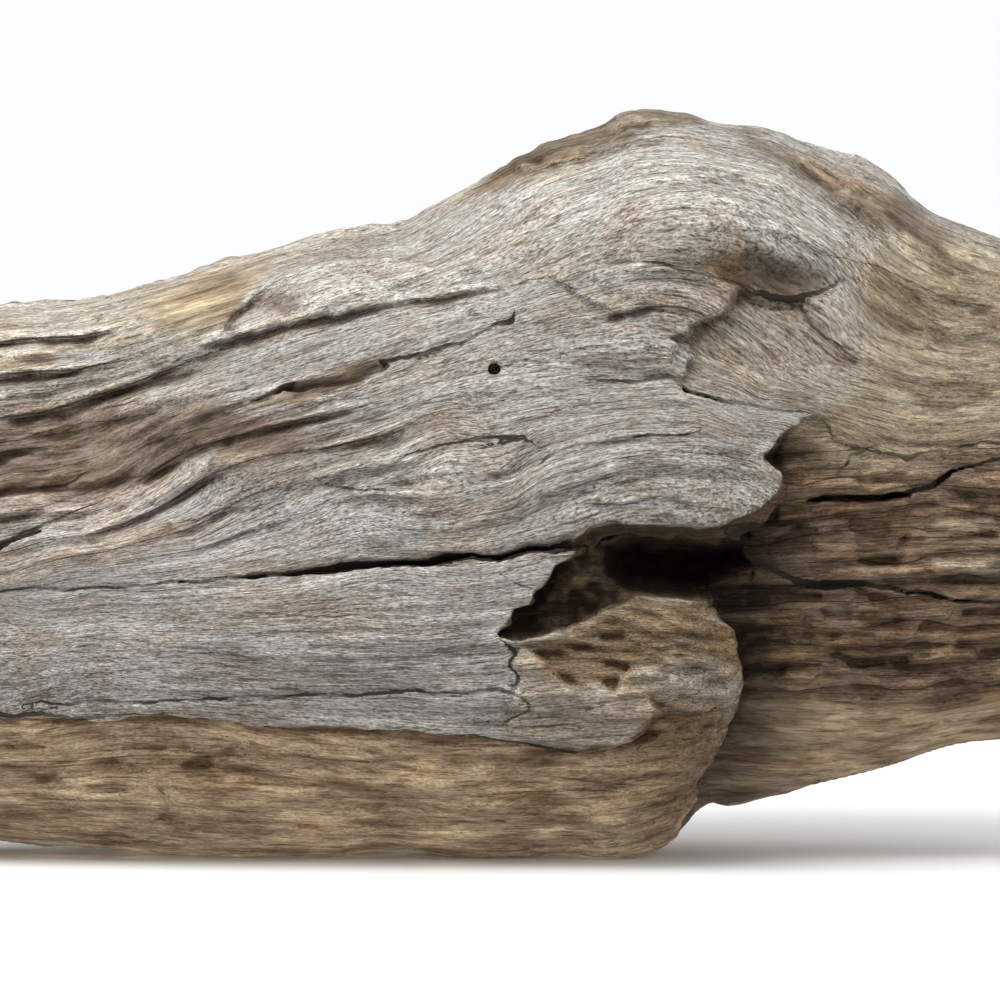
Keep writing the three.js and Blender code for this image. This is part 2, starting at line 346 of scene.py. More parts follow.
# Open splits: depth, lean (sideways run for each unit of depth), and a line of
# [x, z, half width].
SPLITS = [
    (15, 0.35, [(-214, 93, 0.3), (-165, 93, 0.4), (-135, 95, 0.5), (-99, 97, 0.6),
                (-66, 100, 0.9), (-53, 102, 1.3), (-33, 103, 1.2), (-16, 104, 1.4),
                (3, 105, 1.1), (15, 107, 1.0), (24, 108, 1.8)]),
    (4, 0.2, [(-105, 58, 0.3), (-49, 59, 0.6), (-16, 60, 0.6), (-3, 61, 0.7), (6, 59, 0.5)]),
    (3, 0, [(-159, 55, 0.3), (-126, 57, 0.5), (-86, 58, 0.3)]),
    (6, 0, [(2, 76, 0.7), (5, 72, 0.5), (4, 69, 0.6), (7, 65, 0.5), (3, 61, 0.5)]),
    (3, 0, [(6, 59, 0.4), (9, 56, 0.4), (8, 53, 0.3), (1, 50, 0.3)]),
    (5, 0.5, [(-81, 157, 0.3), (-71, 160, 1.2), (-66, 161, 2.2), (-56, 163, 2.5),
              (-46, 166, 2.6), (-38, 168, 2.1), (-35, 169, 0.7), (-20, 173, 0.7),
              (-5, 179, 0.5), (4, 183, 0.8), (5, 185, 0.4)]),
    (4, 0.3, [(-214, 159, 0.3), (-167, 163, 0.5), (-147, 166, 0.4), (-129, 170, 0.1)]),
    (3, 0.3, [(-158, 172, 0.1), (-147, 174, 0.3), (-118, 179, 0.1)]),
    (6, 0.4, [(-214, 97, 1.0), (-167, 108, 0.9), (-152, 114, 0.7), (-132, 123, 0.2)]),
    (5, 0.4, [(-214, 122, 0.3), (-167, 125, 0.6), (-148, 128, 0.4), (-130, 136, 0.1)]),
    (2, 0, [(-59, 127, 0.2), (-38, 127, 0.4), (-26, 126, 0.3)]),
    (2, 0, [(13, 136, 0.3), (17, 139, 0.4), (25, 141, 0.4), (49, 145, 0.3), (66, 146, 0.2)]),
    (2, 0.2, [(-33, 137, 0.2), (-23, 141, 0.4), (-7, 144, 0.6), (2, 144, 0.5), (10, 144, 0.2)]),
    (2, 0, [(-7, 140, 0.2), (0, 142, 0.4), (7, 143, 0.4), (11, 142, 0.2)]),
    (5, 0.3, [(28, 163, 0.3), (36, 163, 0.6), (55, 164, 0.6), (63, 160, 0.7),
              (68, 158, 0.9), (74, 156, 0.7), (86, 154, 0.4), (99, 153, 0.2)]),
    (12, 0.5, [(36, 202, 0.3), (48, 202, 0.4), (55, 201, 0.6), (63, 199, 0.6),
               (78, 195, 0.6), (83, 192, 0.9), (91, 190, 1.3), (99, 190, 1.3),
               (106, 193, 0.8), (110, 195, 0.6), (112, 197, 0.3)]),
    (2, 0, [(98, 189, 0.4), (100, 184, 0.5), (104, 180, 0.5), (113, 174, 0.2)]),
    (16, 0, [(103, 123, 0.9), (108, 124, 1.8), (125, 124, 2.0), (137, 125, 0.9)]),
    (8, 0, [(80, 115, 0.5), (93, 116, 1.1), (104, 117, 0.4)]),
    (7, 0, [(135, 125, 0.8), (144, 128, 1.3), (152, 133, 1.0), (161, 136, 0.7),
            (169, 139, 0.5), (214, 145, 0.4)]),
    (3, 0, [(113, 133, 0.3), (116, 139, 0.4), (128, 142, 0.3), (152, 141, 0.4), (214, 149, 0.3)]),
    (12, 0, [(83, 103, 0.8), (94, 98, 0.9), (101, 95, 1.4), (112, 94, 1.6), (122, 95, 1.0),
             (146, 91, 0.8), (214, 86, 0.3)]),
    (2, 0, [(1, 100, 0.1), (5, 96, 0.2), (12, 93, 0.25)]),
    (3, 0, [(-214, 25, 0.3), (-167, 23, 0.3), (-137, 22, 0.1)]),
    (8, 0.3, [(-214, 53, 0.9), (-166, 52, 1.0), (-138, 51, 0.7), (-113, 53, 0.2)]),
    (4, 0.3, [(-23, 46, 0.2), (-10, 45, 0.5), (7, 43, 0.6), (23, 41, 0.5), (33, 41, 0.2)]),
]
SPLIT_LEAST = 0.8  # half width: finer splits are only grooves
SPLIT_SEAM = 8  # splits keep this far from the plane where front and back meet
TORN_THICKNESS = 9  # down to here a broken edge slopes in, and under it, back
BORE = (-2, 167, 1.7, 8)  # an old beetle bore: x, z, radius, depth

# Patches broken out of the show face, as outlines of [x, z].
HEART = [
    (91, 131), (88, 137), (92, 144), (98, 151), (108, 151), (112, 143), (128, 138),
    (150, 140), (169, 144), (235, 150), (235, -12), (66, -12), (62, 11), (72, 36), (79, 54),
    (81, 62), (79, 73), (76, 81), (68, 87), (69, 100), (75, 116), (84, 120), (90, 125),
]
HOLLOW = [
    (24, 108), (30, 112), (37, 116), (48, 115), (63, 114), (73, 116), (84, 114),
    (81, 98), (68, 89), (59, 91), (46, 92), (35, 87), (23, 82), (7, 77),
    (1, 78), (5, 87), (15, 95),
]
BLACK_HOLE = [
    (33, 108), (46, 111), (66, 110), (84, 110), (86, 102), (76, 98), (66, 91), (53, 93),
    (43, 94), (36, 100),
]
HEART_DEPTH = [(60, 24), (84, 20), (95, 15), (112, 11), (134, 8), (168, 5), (214, 4)]
LOWER_EDGE = [  # the heart's blocks end here, and its smooth lower flank begins
    (70, 58), (83, 60), (98, 59), (118, 56), (135, 54), (149, 53), (169, 59), (214, 63),
]
PLATE = [(140, 117), (170, 119), (230, 118), (230, 96), (170, 95), (146, 99)]  # paler rot
HOLLOW_FLOOR_EDGE = [(1, 76), (7, 76), (23, 80), (35, 85), (46, 90), (59, 89), (68, 87)]
FLANK = [
    (-235, 52), (-166, 51), (-129, 50), (-113, 53), (-93, 50), (-66, 48), (-33, 47),
    (-17, 45), (7, 43), (27, 40), (37, 41), (44, 43), (52, 52), (63, 51),
    (74, 56), (70, 30), (66, -12), (-235, -12),
]
FLANK_STEP = [(-122, 10), (-116, 18), (-115, 30), (-106, 36), (-96, 40), (-84, 46)]
BAY = [
    (78, 194), (86, 191), (100, 189), (113, 193), (126, 180), (126, 167), (115, 157),
    (93, 154), (76, 157), (57, 163), (62, 170), (56, 176), (63, 178), (68, 183),
    (74, 189),
]
KNOB = [  # an old branch stump, torn short
    (4, 74), (20, 80), (33, 86), (46, 89), (66, 88), (78, 78), (82, 62), (80, 50), (76, 30),
    (66, -5), (40, -5), (20, 43),
]
LOW_FLAKE = [
    (6, 74), (13, 72), (20, 65), (25, 61), (38, 61), (46, 61), (51, 55), (48, 49),
    (40, 42), (20, 43), (0, 46), (4, 60),
]

# Growth layers worn into steps of three sizes: their pitch, seed and height.
LAYERS = [(10, 1, 3.4), (4.2, 2, 2.0), (2.3, 3, 0.8)]
# Where they have weathered apart most: centre x, z, half widths, turn, strength.
WEATHERED = [
    (-160, 130, 70, 30, -14, 1.5),
    (-60, 150, 60, 16, -16, 0.75),
    (-150, 170, 60, 14, -10, 0.8),
    (150, 185, 60, 28, 0, 0.55),
    (60, 185, 40, 14, 0, 0.25),
    (-60, 30, 130, 16, 0, 0.45),
    (45, 70, 36, 30, 0, 0.6),
    (-20, 132, 40, 10, 0, 0.5),
    (60, 148, 50, 12, 0, 0.4),
]

# Where the skin is crumbly: centre x, z, half widths, turn, strength.
CRUMBLY = [
    (-74, 189, 9, 6, -20, 1.4),  # in the white flake
    (-40, 197, 26, 6, -12, 0.5),
    (45, 186, 24, 13, 0, 0.8),  # the ragged plate
    (22, 243, 34, 5, 18, 1.3),  # the brown rim of the crest
    (50, 256, 14, 4, 0, 1.0),
    (118, 228, 26, 7, -35, 1.2),  # the broken right crest
    (-60, 157, 14, 4, -12, 1.0),  # beside the open split
    (-150, 112, 60, 12, -14, 0.5),
    (-110, 150, 60, 14, -14, 0.45),
]

# Plates that stand proud: a height, how far along +x that height takes to build up, and an
# outline.
RAISED = [
    (1.8, 26, [(15, 195), (20, 201), (50, 202), (66, 199), (78, 194), (72, 186), (63, 178),
               (55, 173), (56, 166), (20, 169), (12, 184)]),
    (2.8, 9, LOW_FLAKE),
    (1.8, 20, [(-88, 180), (-83, 193), (-70, 202), (-40, 206), (-20, 200), (-50, 190),
               (-66, 183)]),
    (2.2, 18, [(-134, 118), (-123, 127), (-103, 136), (-95, 138), (-100, 130), (-123, 121)]),
]


def wander(x, z):
    """The small aimless run of every torn edge: straight splinters with sharp turns, and
    calmer round the worn knob."""
    loose = 1 - 0.75 * mound(x, z, (74, 55, 18, 34, 0))
    off_x = 2.6 * noise(x / 14, z / 5.3, 11, straight=True)
    off_x = off_x + 1.0 * noise(x / 6, z / 2.3, 12, straight=True)
    off_z = 1.1 * noise(x / 9, z / 8, 13, straight=True) + 0.4 * noise(x / 3.1, z / 3, 14)
    return x + loose * off_x, z + loose * off_z


def softened(plan):
    """A plan with its sharpest steps spread over two cells, which the mesh can hold."""
    for axis in (0, 1):
        plan = (np.roll(plan, 1, axis) + 2 * plan + np.roll(plan, -1, axis)) / 4
    return plan


def band_of(x, level, pitch, seed):
    """Which growth layer shows at each place: a whole number and the share of the way
    up to the next one."""
    drift = 0.5 * noise(x / 80, level / 30, seed)
    return level / pitch + drift + 0.1 * noise(x / 20, level / 9, seed)


def layer_strength(x, band, seed):
    """How boldly a layer's step shows along its run, 0 to 1."""
    return np.clip(0.45 + 1.0 * noise(x / 48, np.floor(band) * 5.3, seed), 0, 1)


def layers(x, level, pitch, seed):
    """Growth layers worn into steps, each one standing out over the layer under it."""
    band = band_of(x, level, pitch, seed)
    share = band - np.floor(band)
    corner = 1 - rise(share, 1 - 0.9 / pitch, 1)
    return -layer_strength(x, band, seed) * share**1.4 * corner


def blocks(x, band, long, seed):
    """Cubical rot: how high each block of a row stands, and the distance to its ends."""
    row = np.floor(band)
    column = x / long * (1 + 0.35 * toss(row, seed)) + 7 * toss(row, seed + 3)
    column = column + 0.7 * noise(x / 14, band / 1.3, seed + 5)
    cell = np.floor(column)
    height = toss(row + 31 * seed, cell)
    leaning = 0.8 * toss(row + 7, cell + seed) * (band - row - 0.5)
    return height + leaning, np.minimum(column - cell, 1 - column + cell) * long


def ledge_height(x, z, drop, reach, line):
    """How far a broken layer sinks the surface at each place, as a height under 0."""
    away, side, share, _ = follow(line, x, z)
    fade = rise(share, 0, 0.18) * rise(1 - share, 0, 0.18)
    fade = fade * (0.75 + 0.5 * noise(x / 17, z / 50, 23))
    sunk = -side * away * np.sign(drop)
    return -abs(drop) * rise(sunk, -0.3, 0.4) * np.exp(-np.maximum(sunk, 0) / reach) * fade


def wear_at(x, z, least):
    """How far the layers have weathered apart at each place."""
    worn = np.full(x.shape, least)
    for *place, strength in WEATHERED:
        worn = worn + strength * mound(x, z, place)
    return worn


def show_relief(x, z, level, spread):
    """Height of the show face over its smooth form, before anything is broken out."""
    height = 1.4 * noise(x / 60, z / 26, 21) + 0.8 * noise(x / 30, z / 12, 22)
    for *place, tall in SWELLS:
        height = height + tall * mound(x, z, place)
    torn = wander(x, z)
    for drop, reach, line in LEDGES:
        height = height + ledge_height(*torn, drop, reach, line)
    worn = wear_at(x, z, 0.22) / spread
    for pitch, seed, tall in LAYERS:
        height = height + tall * worn * layers(x, level, pitch, seed)
    frayed = 1.5 * noise(x / 20, level / 2.3, 25, straight=True) + 0.9 * noise(x / 7, level / 1.6, 26)
    height = height + np.maximum(worn - 0.3, 0) * frayed
    crumbly = sum(strength * mound(*torn, place) for *place, strength in CRUMBLY)
    crumbs = 1.6 * noise(x / 6, z / 3.4, 27, straight=True) + 1.1 * noise(x / 2.8, z / 2.1, 28)
    height = height + crumbly * crumbs
    for tall, run_in, outline in RAISED:
        left = min(point[0] for point in outline)
        fade = rise(x, left, left + run_in)
        height = height + tall * fade * rise(-outline_distance(outline, *torn), -0.4, 0.6)
    on_knob = rise(-outline_distance(KNOB, *torn), 0, 6)
    on_knob = on_knob * rise(outline_distance(LOW_FLAKE, *torn), -0.5, 1)
    shreds = z / 6.5 + 0.05 * x + 0.9 * noise(x / 22, z / 10, 81)
    shred_high, _ = blocks(x, shreds, 24, 4)
    torn_off = 1.5 * shred_high + 1.5 * noise(x / 12, z / 2.8, 82, straight=True)
    torn_off = torn_off + 0.8 * noise(x / 10, z / 1.6, 83) - 1.8 * (shreds - np.floor(shreds)) ** 2
    return height + on_knob * torn_off


def nearest_line(drawn, x, z):
    """For each place, the nearest of some drawn lines with half widths: signed distance
    across it, plain distance, half width there, and which line it is."""
    best = np.full(x.shape, -1e9, np.float32)
    across, apart, width = (np.zeros(x.shape, np.float32) for _ in range(3))
    which = np.zeros(x.shape, int)
    for i, line in enumerate(drawn):
        away, side, _, half = follow(line, x, z)
        closer = half - away > best
        best = np.where(closer, half - away, best)
        across = np.where(closer, away * side, across)
        apart = np.where(closer, away, apart)
        width = np.where(closer, half, width)
        which = np.where(closer, i, which)
    return across, apart, width, which


def split_plan(splits):
    """For each column, its nearest split: the distance across it, its half width there, its
    depth, its lean, and the shallow groove that runs along it."""
    lines = [line for _, _, line in splits]
    across, apart, half, which = nearest_line(lines, torn_x, torn_z)
    depth = np.array([deep for deep, _, _ in splits], np.float32)[which]
    lean = np.array([leaning for _, leaning, _ in splits], np.float32)[which]
    groove = 0.7 * np.exp(-((apart / 1.3) ** 2)) * rise(half, 0.1, 0.5)
    return across, half, depth, lean, groove


def opened(half):
    """The half width of a split's gap: nothing where it is only a groove."""
    return half - 4 * np.maximum(SPLIT_LEAST - half, 0)


# The plan of the show face, one value for each column of the wood.
xs = np.arange(-HALF_LENGTH - MARGIN, HALF_LENGTH + MARGIN, VOXEL, dtype=np.float32)
zs = np.arange(-MARGIN, WOOD_HEIGHT + MARGIN, VOXEL, dtype=np.float32)
ys = np.arange(-HALF_DEPTH - MARGIN, HALF_DEPTH + MARGIN, VOXEL, dtype=np.float32)
plan_x, plan_z = np.meshgrid(xs, zs, indexing="ij")
level = level_at(plan_x, plan_z)
slope_x, slope_z = np.gradient(level, VOXEL)
spread = np.clip(np.hypot(slope_x, slope_z), 0.7, 4)
torn_x, torn_z = wander(plan_x, plan_z)

crest = smooth_line(CREST)(xs)
keel = smooth_line(KEEL)(xs) - FOOT_CUT
middle = ((crest + keel) / 2)[:, None]
half_height = ((crest - keel) / 2)[:, None]
up = (plan_z - middle) / half_height
power = np.where(up > 0, TOP_POWER, FOOT_POWER).astype(np.float32)
front_depth = smooth_line(FRONT_DEPTH)(xs)[:, None]
back_depth = smooth_line(BACK_DEPTH)(xs)[:, None]
fullness = np.clip(1 - np.abs(up) ** power, 0, 1) ** (1 / power)
front_skin = -front_depth * fullness

across, half, depth, lean, groove = split_plan(SPLITS)
relief = softened(show_relief(plan_x, plan_z, level, spread)) - groove
half = half * (1 + 0.25 * noise(plan_x / 5, plan_z / 3, 24, straight=True))
front_splits = (across, opened(half), depth, lean)

# The rotted heart: deep under the shell's lip, shallow at the far right, and broken
# into blocks above a smooth lower flank.
heart_edge = outline_distance(HEART, torn_x, torn_z)
heart_depth = smooth_line(HEART_DEPTH)(plan_x)
at_shoulder = rise(plan_x, 84, 100) * rise(plan_z, 114, 136)
heart_depth = heart_depth * (1 - 0.85 * at_shoulder)


def heart_level_at(x, z):
    """The level of the heart's own straighter grain."""
    return z - 0.04 * x + 4 * noise(x / 70, z / 40, 30)


heart_level = heart_level_at(plan_x, plan_z)


def heart_bands(x, heart_level):
    """Rows of cubical rot and of the chips in them, counted upwards."""
    rows = heart_level / 7 + 0.4 * noise(x / 34, heart_level / 12, 31)
    rows = rows + 0.22 * noise(x / 11, heart_level / 7, 31, straight=True)
    chips = heart_level / 2.9 + 0.6 * noise(x / 15, heart_level / 5, 32, straight=True)
    return rows, chips


def above_lower_edge(x, z):
    """Height over the line where the heart's blocks end, under 0 below it."""
    away, side, _, _ = follow(LOWER_EDGE, x, z)
    return away * side


row_band, chip_band = heart_bands(plan_x, heart_level)
block_high, block_gap = blocks(plan_x, row_band, 44, 1)
chip_high, _ = blocks(plan_x, chip_band, 18, 2)
blocky = rise(above_lower_edge(torn_x, torn_z), -0.5, 1.5)
bold = blocky * (1 - 0.5 * rise(plan_z, 128, 146))
heart_depth = heart_depth + bold * (2.9 * block_high + 2.1 * chip_high)
heart_depth = heart_depth + bold * 1.2 * (chip_band - np.floor(chip_band)) ** 2
heart_depth = heart_depth + bold * 2.8 * (row_band - np.floor(row_band)) ** 2
heart_depth = heart_depth + bold * 1.6 * noise(plan_x / 13, plan_z / 2.6, 38, straight=True)
heart_depth = heart_depth + bold * 0.7 * (1 - rise(block_gap, 0.2, 1.6))
heart_depth = heart_depth + (1 - blocky) * (4 + 1.2 * noise(plan_x / 22, plan_z / 9, 31))
run_out = rise(-heart_edge, 0, 14)  # the rotten rows run out into the shoulder
heart_depth = softened(heart_depth * (1 - at_shoulder * (1 - run_out)))
# The knob is worn round where it turns down into the heart.
by_knob = mound(plan_x, plan_z, (76, 55, 22, 44, 0))
relief = relief - 5 * by_knob * np.exp(-np.maximum(heart_edge, 0) / 4.5)

# The hollow under the lip, its floor climbing forward to the knob.
hollow_edge = outline_distance(HOLLOW, torn_x, torn_z) + 1.2 * noise(plan_x / 6, plan_z / 2.5, 33)
away, _, _, _ = follow(HOLLOW_FLOOR_EDGE, torn_x, torn_z)
hollow_depth = 24 * np.clip(away / 11, 0, 1) ** 0.7
hollow_depth = hollow_depth - 12 * mound(plan_x, plan_z, (27, 98, 8, 12, -50))
crumbs = 3.2 * noise(plan_x / 6, plan_z / 4, 34, straight=True)
crumbs = crumbs + 2.2 * noise(plan_x / 2.7, plan_z / 2.2, 39)
black_edge = outline_distance(BLACK_HOLE, torn_x, torn_z)
hollow_depth = hollow_depth + crumbs * rise(away, 0, 4) + 30 * rise(-black_edge, -1, 7)

flank_edge = outline_distance(FLANK, torn_x, torn_z)
flank_depth = 7 * (1 - rise(plan_x, 34, 60)) + 3.0 * noise(plan_x / 26, plan_z / 10, 35)
flank_depth = flank_depth + 1.5 * noise(plan_x / 11, plan_z / 5, 36)
flank_depth = flank_depth + 0.9 * noise(plan_x / 5, plan_z / 2.4, 37)
flank_level = plan_z - 0.05 * plan_x + 3 * noise(plan_x / 40, plan_z / 20, 40)
flank_depth = flank_depth - 2.6 * layers(plan_x, flank_level, 8.5, 8)
flank_depth = flank_depth - 1.3 * layers(plan_x, flank_level, 3.6, 9)
flank_depth = flank_depth - ledge_height(torn_x, torn_z, 4.5, 14, FLANK_STEP)
flank_depth = softened(flank_depth)
bay_edge = outline_distance(BAY, torn_x, torn_z)
bay_depth = (2 + 4 * rise(plan_z, 158, 172)) * (1 - rise(plan_x, 84, 120))
near_lip = (1 - rise(plan_x, 98, 118)) * rise(plan_z, 84, 96)
even = np.ones(plan_x.shape, np.float32)
# Each patch: the distance to its edge, its depth, how far its torn edge slopes in, and how
# far it runs back under that edge, both for each unit of depth.
PATCHES = [
    (heart_edge, heart_depth, 0.55 * near_lip, 0.55 * near_lip),
    (hollow_edge, hollow_depth, 0.5 * rise(plan_z, 101, 107), 0.3 * even),
    (flank_edge, flank_depth, 0 * even, 0.35 * even),
    (bay_edge, bay_depth, 0.3 * even, 0.2 * even),
]

# Long flutes worn into the back: a line of [x, z], half its width, and how deep.
BACK_FLUTES = [
    ([(-240, 120), (-120, 132), (-20, 150), (60, 152)], 15, 12),
    ([(-90, 60), (0, 66), (90, 84), (240, 92)], 12, 10),
    ([(-20, 204), (60, 210), (120, 196), (190, 170)], 10, 8),
]
# Open splits of the back: depth, lean, and a line of [x, z, half width].
BACK_SPLITS = [
    (14, 0.2, [(-180, 96, 0.2), (-120, 92, 0.9), (-60, 88, 1.7), (0, 90, 1.9), (40, 96, 0.8),
               (70, 101, 0.2)]),
    (10, 0.3, [(-60, 178, 0.2), (0, 184, 1.1), (50, 187, 1.4), (90, 182, 0.7), (130, 174, 0.1)]),
    (8, 0.0, [(-214, 160, 0.5), (-170, 166, 0.9), (-120, 175, 0.1)]),
    (8, 0.1, [(60, 48, 0.2), (110, 56, 0.9), (160, 62, 1.0), (214, 66, 0.5)]),
    (4, 0.0, [(-150, 40, 0.1), (-90, 34, 0.5), (-30, 32, 0.1)]),
    (4, 0.0, [(110, 130, 0.1), (150, 134, 0.6), (214, 130, 0.3)]),
]
KNOT = (96, 128)  # an old branch stub, worn flush: its middle on the back
knot_swell = mound(plan_x, plan_z, (*KNOT, 30, 22, 0))
back_relief = 3 * noise(plan_x / 70, plan_z / 30, 41) + 1.6 * noise(plan_x / 30, plan_z / 12, 42)
back_relief = back_relief + 5 * knot_swell - 7 * mound(plan_x, plan_z, (*KNOT, 8, 6, 0))
for line, half, deep in BACK_FLUTES:
    away = follow(line, torn_x, torn_z)[0] / half
    back_relief = back_relief - deep * np.exp(-away * away)
back_relief = back_relief + 3.2 * layers(plan_x, level, 13, 5) + 1.8 * layers(plan_x, level, 5.5, 6)
back_relief = back_relief + 0.9 * layers(plan_x, level, 2.6, 7)
across, half, depth, lean, groove = split_plan(BACK_SPLITS)
back_relief = softened(back_relief) - groove
back_splits = (across, opened(half), depth, lean)

# Drying checks in the end grain: which end, the turn of the check round the pith, where it
# starts and stops from the pith, its half width and its depth.
PITH = (8, 100)  # y and z of the pith
CHECK_REACH = 40  # no check runs further in from its end
END_CHECKS = [
    (-1, 20, 4, 70, 1.6, 30), (-1, 95, 10, 84, 1.3, 24), (-1, 170, 6, 60, 1.5, 26),
    (-1, 250, 12, 88, 1.4, 22), (-1, 320, 20, 66, 1.0, 16), (1, 45, 8, 66, 1.3, 24),
    (1, 125, 4, 78, 1.6, 30), (1, 200, 14, 56, 1.1, 18), (1, 290, 6, 64, 1.5, 28),
]


def rounded_max(a, b, radius):
    """The larger of two distances, with the edge between them rounded off."""
    h = np.clip(0.5 + 0.5 * (a - b) / radius, 0, 1)
    return a * h + b * (1 - h) + radius * h * (1 - h)


def split_room(rows, under, splits):
    """How far inside an open split each place is, over 0 in its gap."""
    across, half, depth, lean = (plan[rows, None, :] for plan in splits)
    room = half * np.sqrt(np.clip(1 - under / depth, 0, 1))
    room = room - np.abs(across + lean * under)
    return np.where(under < depth, room, -FAR)


def solid_slab(rows):
    """Distance to the wood's surface for some rows of x, negative in the wood."""

    def take(plan):
        return plan[rows, None, :]

    y = ys[None, :, None]
    depth = np.where(y < 0, front_depth[rows, :, None], back_depth[rows, :, None])
    out = np.abs(y) / depth
    power_here = take(power)
    above = power_here > (TOP_POWER + FOOT_POWER) / 2
    out_power = np.where(above, out**FOOT_POWER, out**TOP_POWER)
    reach = (take(np.abs(up) ** power) + out_power) ** (1 / power_here)
    rate_z = take(np.abs(up) ** (power - 1)) / half_height[rows, :, None]
    rate_y = np.where(above, out ** (FOOT_POWER - 1), out ** (TOP_POWER - 1)) / depth
    rate = np.maximum(np.hypot(rate_z, rate_y), 1 / 160)
    d = (reach - 1) / rate

    facing = rise(-y, 3, 26)
    away_from = rise(y, 3, 26)
    d = d - take(relief) * facing - take(back_relief) * away_from

    # Along the crest and the keel, where neither face's relief reaches, it is just rough.
    x = xs[rows, None, None]
    z = zs[None, None, :]
    rough = 1.5 * noise(x / 16, y / 7, 54, straight=True) + 0.9 * noise(x / 5, y / 4, 55)
    d = d - rough * (1 - facing - away_from)

    # The ends: broken across the grain, then worn round.
    rag = 7 + 6 * noise(y / 17, z / 13, 51) + 3 * noise(y / 6, z / 4.5, 52)
    rag = np.maximum(rag + 1.5 * noise(y / 2.5, z / 2, 53), 0.4)
    d = rounded_max(d, np.abs(x) - (HALF_LENGTH - rag), 15)

    under_skin = y - take(front_skin)
    torn = 0.9 * noise(x / 7, y / 4, z / 3.5, straight=True)
    shallow = take(np.minimum(1, 0.25 + 1.4 * fullness))
    for edge, deep, bevel, undercut in PATCHES:
        below = np.maximum(under_skin, 0)
        thick = np.minimum(below, TORN_THICKNESS)
        wall = take(edge) + torn * rise(below, 0.5, 3)
        wall = wall + take(bevel) * thick - take(undercut) * (below - thick)
        floor = take(front_skin) + take(deep - relief * 0.35) * shallow - y
        d = np.maximum(d, np.minimum(-wall, floor))
    under_back = take(back_depth * fullness) - y
    split = split_room(rows, under_skin, front_splits)
    d = np.maximum(d, np.where(y < -SPLIT_SEAM, split, -FAR))
    split = split_room(rows, under_back, back_splits)
    d = np.maximum(d, np.where(y > SPLIT_SEAM, split, -FAR))
    for end, turn, start, stop, half, deep in END_CHECKS:
        if np.max(end * xs[rows]) < HALF_LENGTH - CHECK_REACH:
            continue
        step_y = math.cos(math.radians(turn))
        step_z = math.sin(math.radians(turn))
        out_from_pith = (y - PITH[0]) * step_y + (z - PITH[1]) * step_z
        beside = (z - PITH[1]) * step_y - (y - PITH[0]) * step_z
        beside = beside + 1.5 * noise(out_from_pith / 11, turn, x / 20, straight=True)
        share = np.clip((out_from_pith - start) / (stop - start), 0, 1)
        open_ = half * np.sqrt(4 * share * (1 - share)) - np.abs(beside)
        d = np.maximum(d, np.minimum(open_, end * x - (HALF_LENGTH - deep)))
    bore_x, bore_z, bore_radius, bore_depth = BORE
    bore = bore_radius - np.hypot(x - bore_x, z - bore_z)
    d = np.maximum(d, np.minimum(bore, bore_depth - under_skin))
    return np.clip(d, -NEAR_SURFACE, NEAR_SURFACE).astype(np.float32)


def fine_relief(x, y, z, level, spread):
    """Height of the ridges that every side has, in the grain of the solid wood."""
    soft = 1 / spread
    height = 0.55 * soft * noise(x / 60, level / 5.2, y / 6.5)
    height = height + 0.42 * soft * noise(x / 34, level / 2.6, y / 3.2)
    height = height + 0.22 * noise(x / 13, level / 1.7, y / 1.9)
    return height + 0.12 * noise(x / 3.5, z / 3.0, y / 3.0)


SLAB = 32  # rows worked out at a time
field = np.empty((len(xs), len(ys), len(zs)), np.float32)
for first in range(0, len(xs), SLAB):
    rows = slice(first, min(first + SLAB, len(xs)))
    slab = solid_slab(rows)
    near = np.nonzero(np.abs(slab) < 2.2 * VOXEL + 1)
    row, column, tier = near[0] + first, near[1], near[2]
    slab[near] -= fine_relief(xs[row], ys[column], zs[tier], level[row, tier], spread[row, tier])
    field[rows] = np.maximum(slab, -zs[None, None, :])

# Shelter: how much wood stands round each spot, near it and further off. It says where
# dirt stays and painted shade darkens, and where edges are rubbed pale and get a painted highlight.
coarse = (field[::2, ::2, ::2] < 0).astype(np.float32)


def box_blur(values, reach):
    """A volume averaged over a box that reaches this many cells each way."""
    for axis in range(3):
        padded = np.concatenate(
            [np.zeros_like(values.take([0], axis)), np.cumsum(values, axis=axis)], axis=axis
        )
        count = values.shape[axis]
        top = np.clip(np.arange(count) + reach + 1, 0, count)
        base = np.clip(np.arange(count) - reach, 0, count)
        values = (padded.take(top, axis) - padded.take(base, axis)) / (2 * reach + 1)
    return values


close_wood = box_blur(coarse, max(1, round(2.6 / (2 * VOXEL))))
wide_wood = box_blur(coarse, max(2, round(12 / (2 * VOXEL))))


def sample(values, x, y, z):
    """The value of a coarse volume at points, in millimetres."""
    spots = [(x - xs[0]) / (2 * VOXEL), (y - ys[0]) / (2 * VOXEL), (z - zs[0]) / (2 * VOXEL)]
    spots = [np.clip(s, 0, n - 1.001) for s, n in zip(spots, values.shape)]
    floors = [np.floor(s).astype(int) for s in spots]
    shares = [s - f for s, f in zip(spots, floors)]
    total = 0
    for corner in range(8):
        index, weight = [], 1
        for axis in range(3):
            far = corner >> axis & 1
            index.append(floors[axis] + far)
            weight = weight * (shares[axis] if far else 1 - shares[axis])
        total = total + values[tuple(index)] * weight
    return total


volume = openvdb.FloatGrid(NEAR_SURFACE)
volume.copyFromArray(field)
points, quads = volume.convertToQuads(0.0)
points = points.astype(np.float64) * VOXEL + (xs[0], ys[0], zs[0])


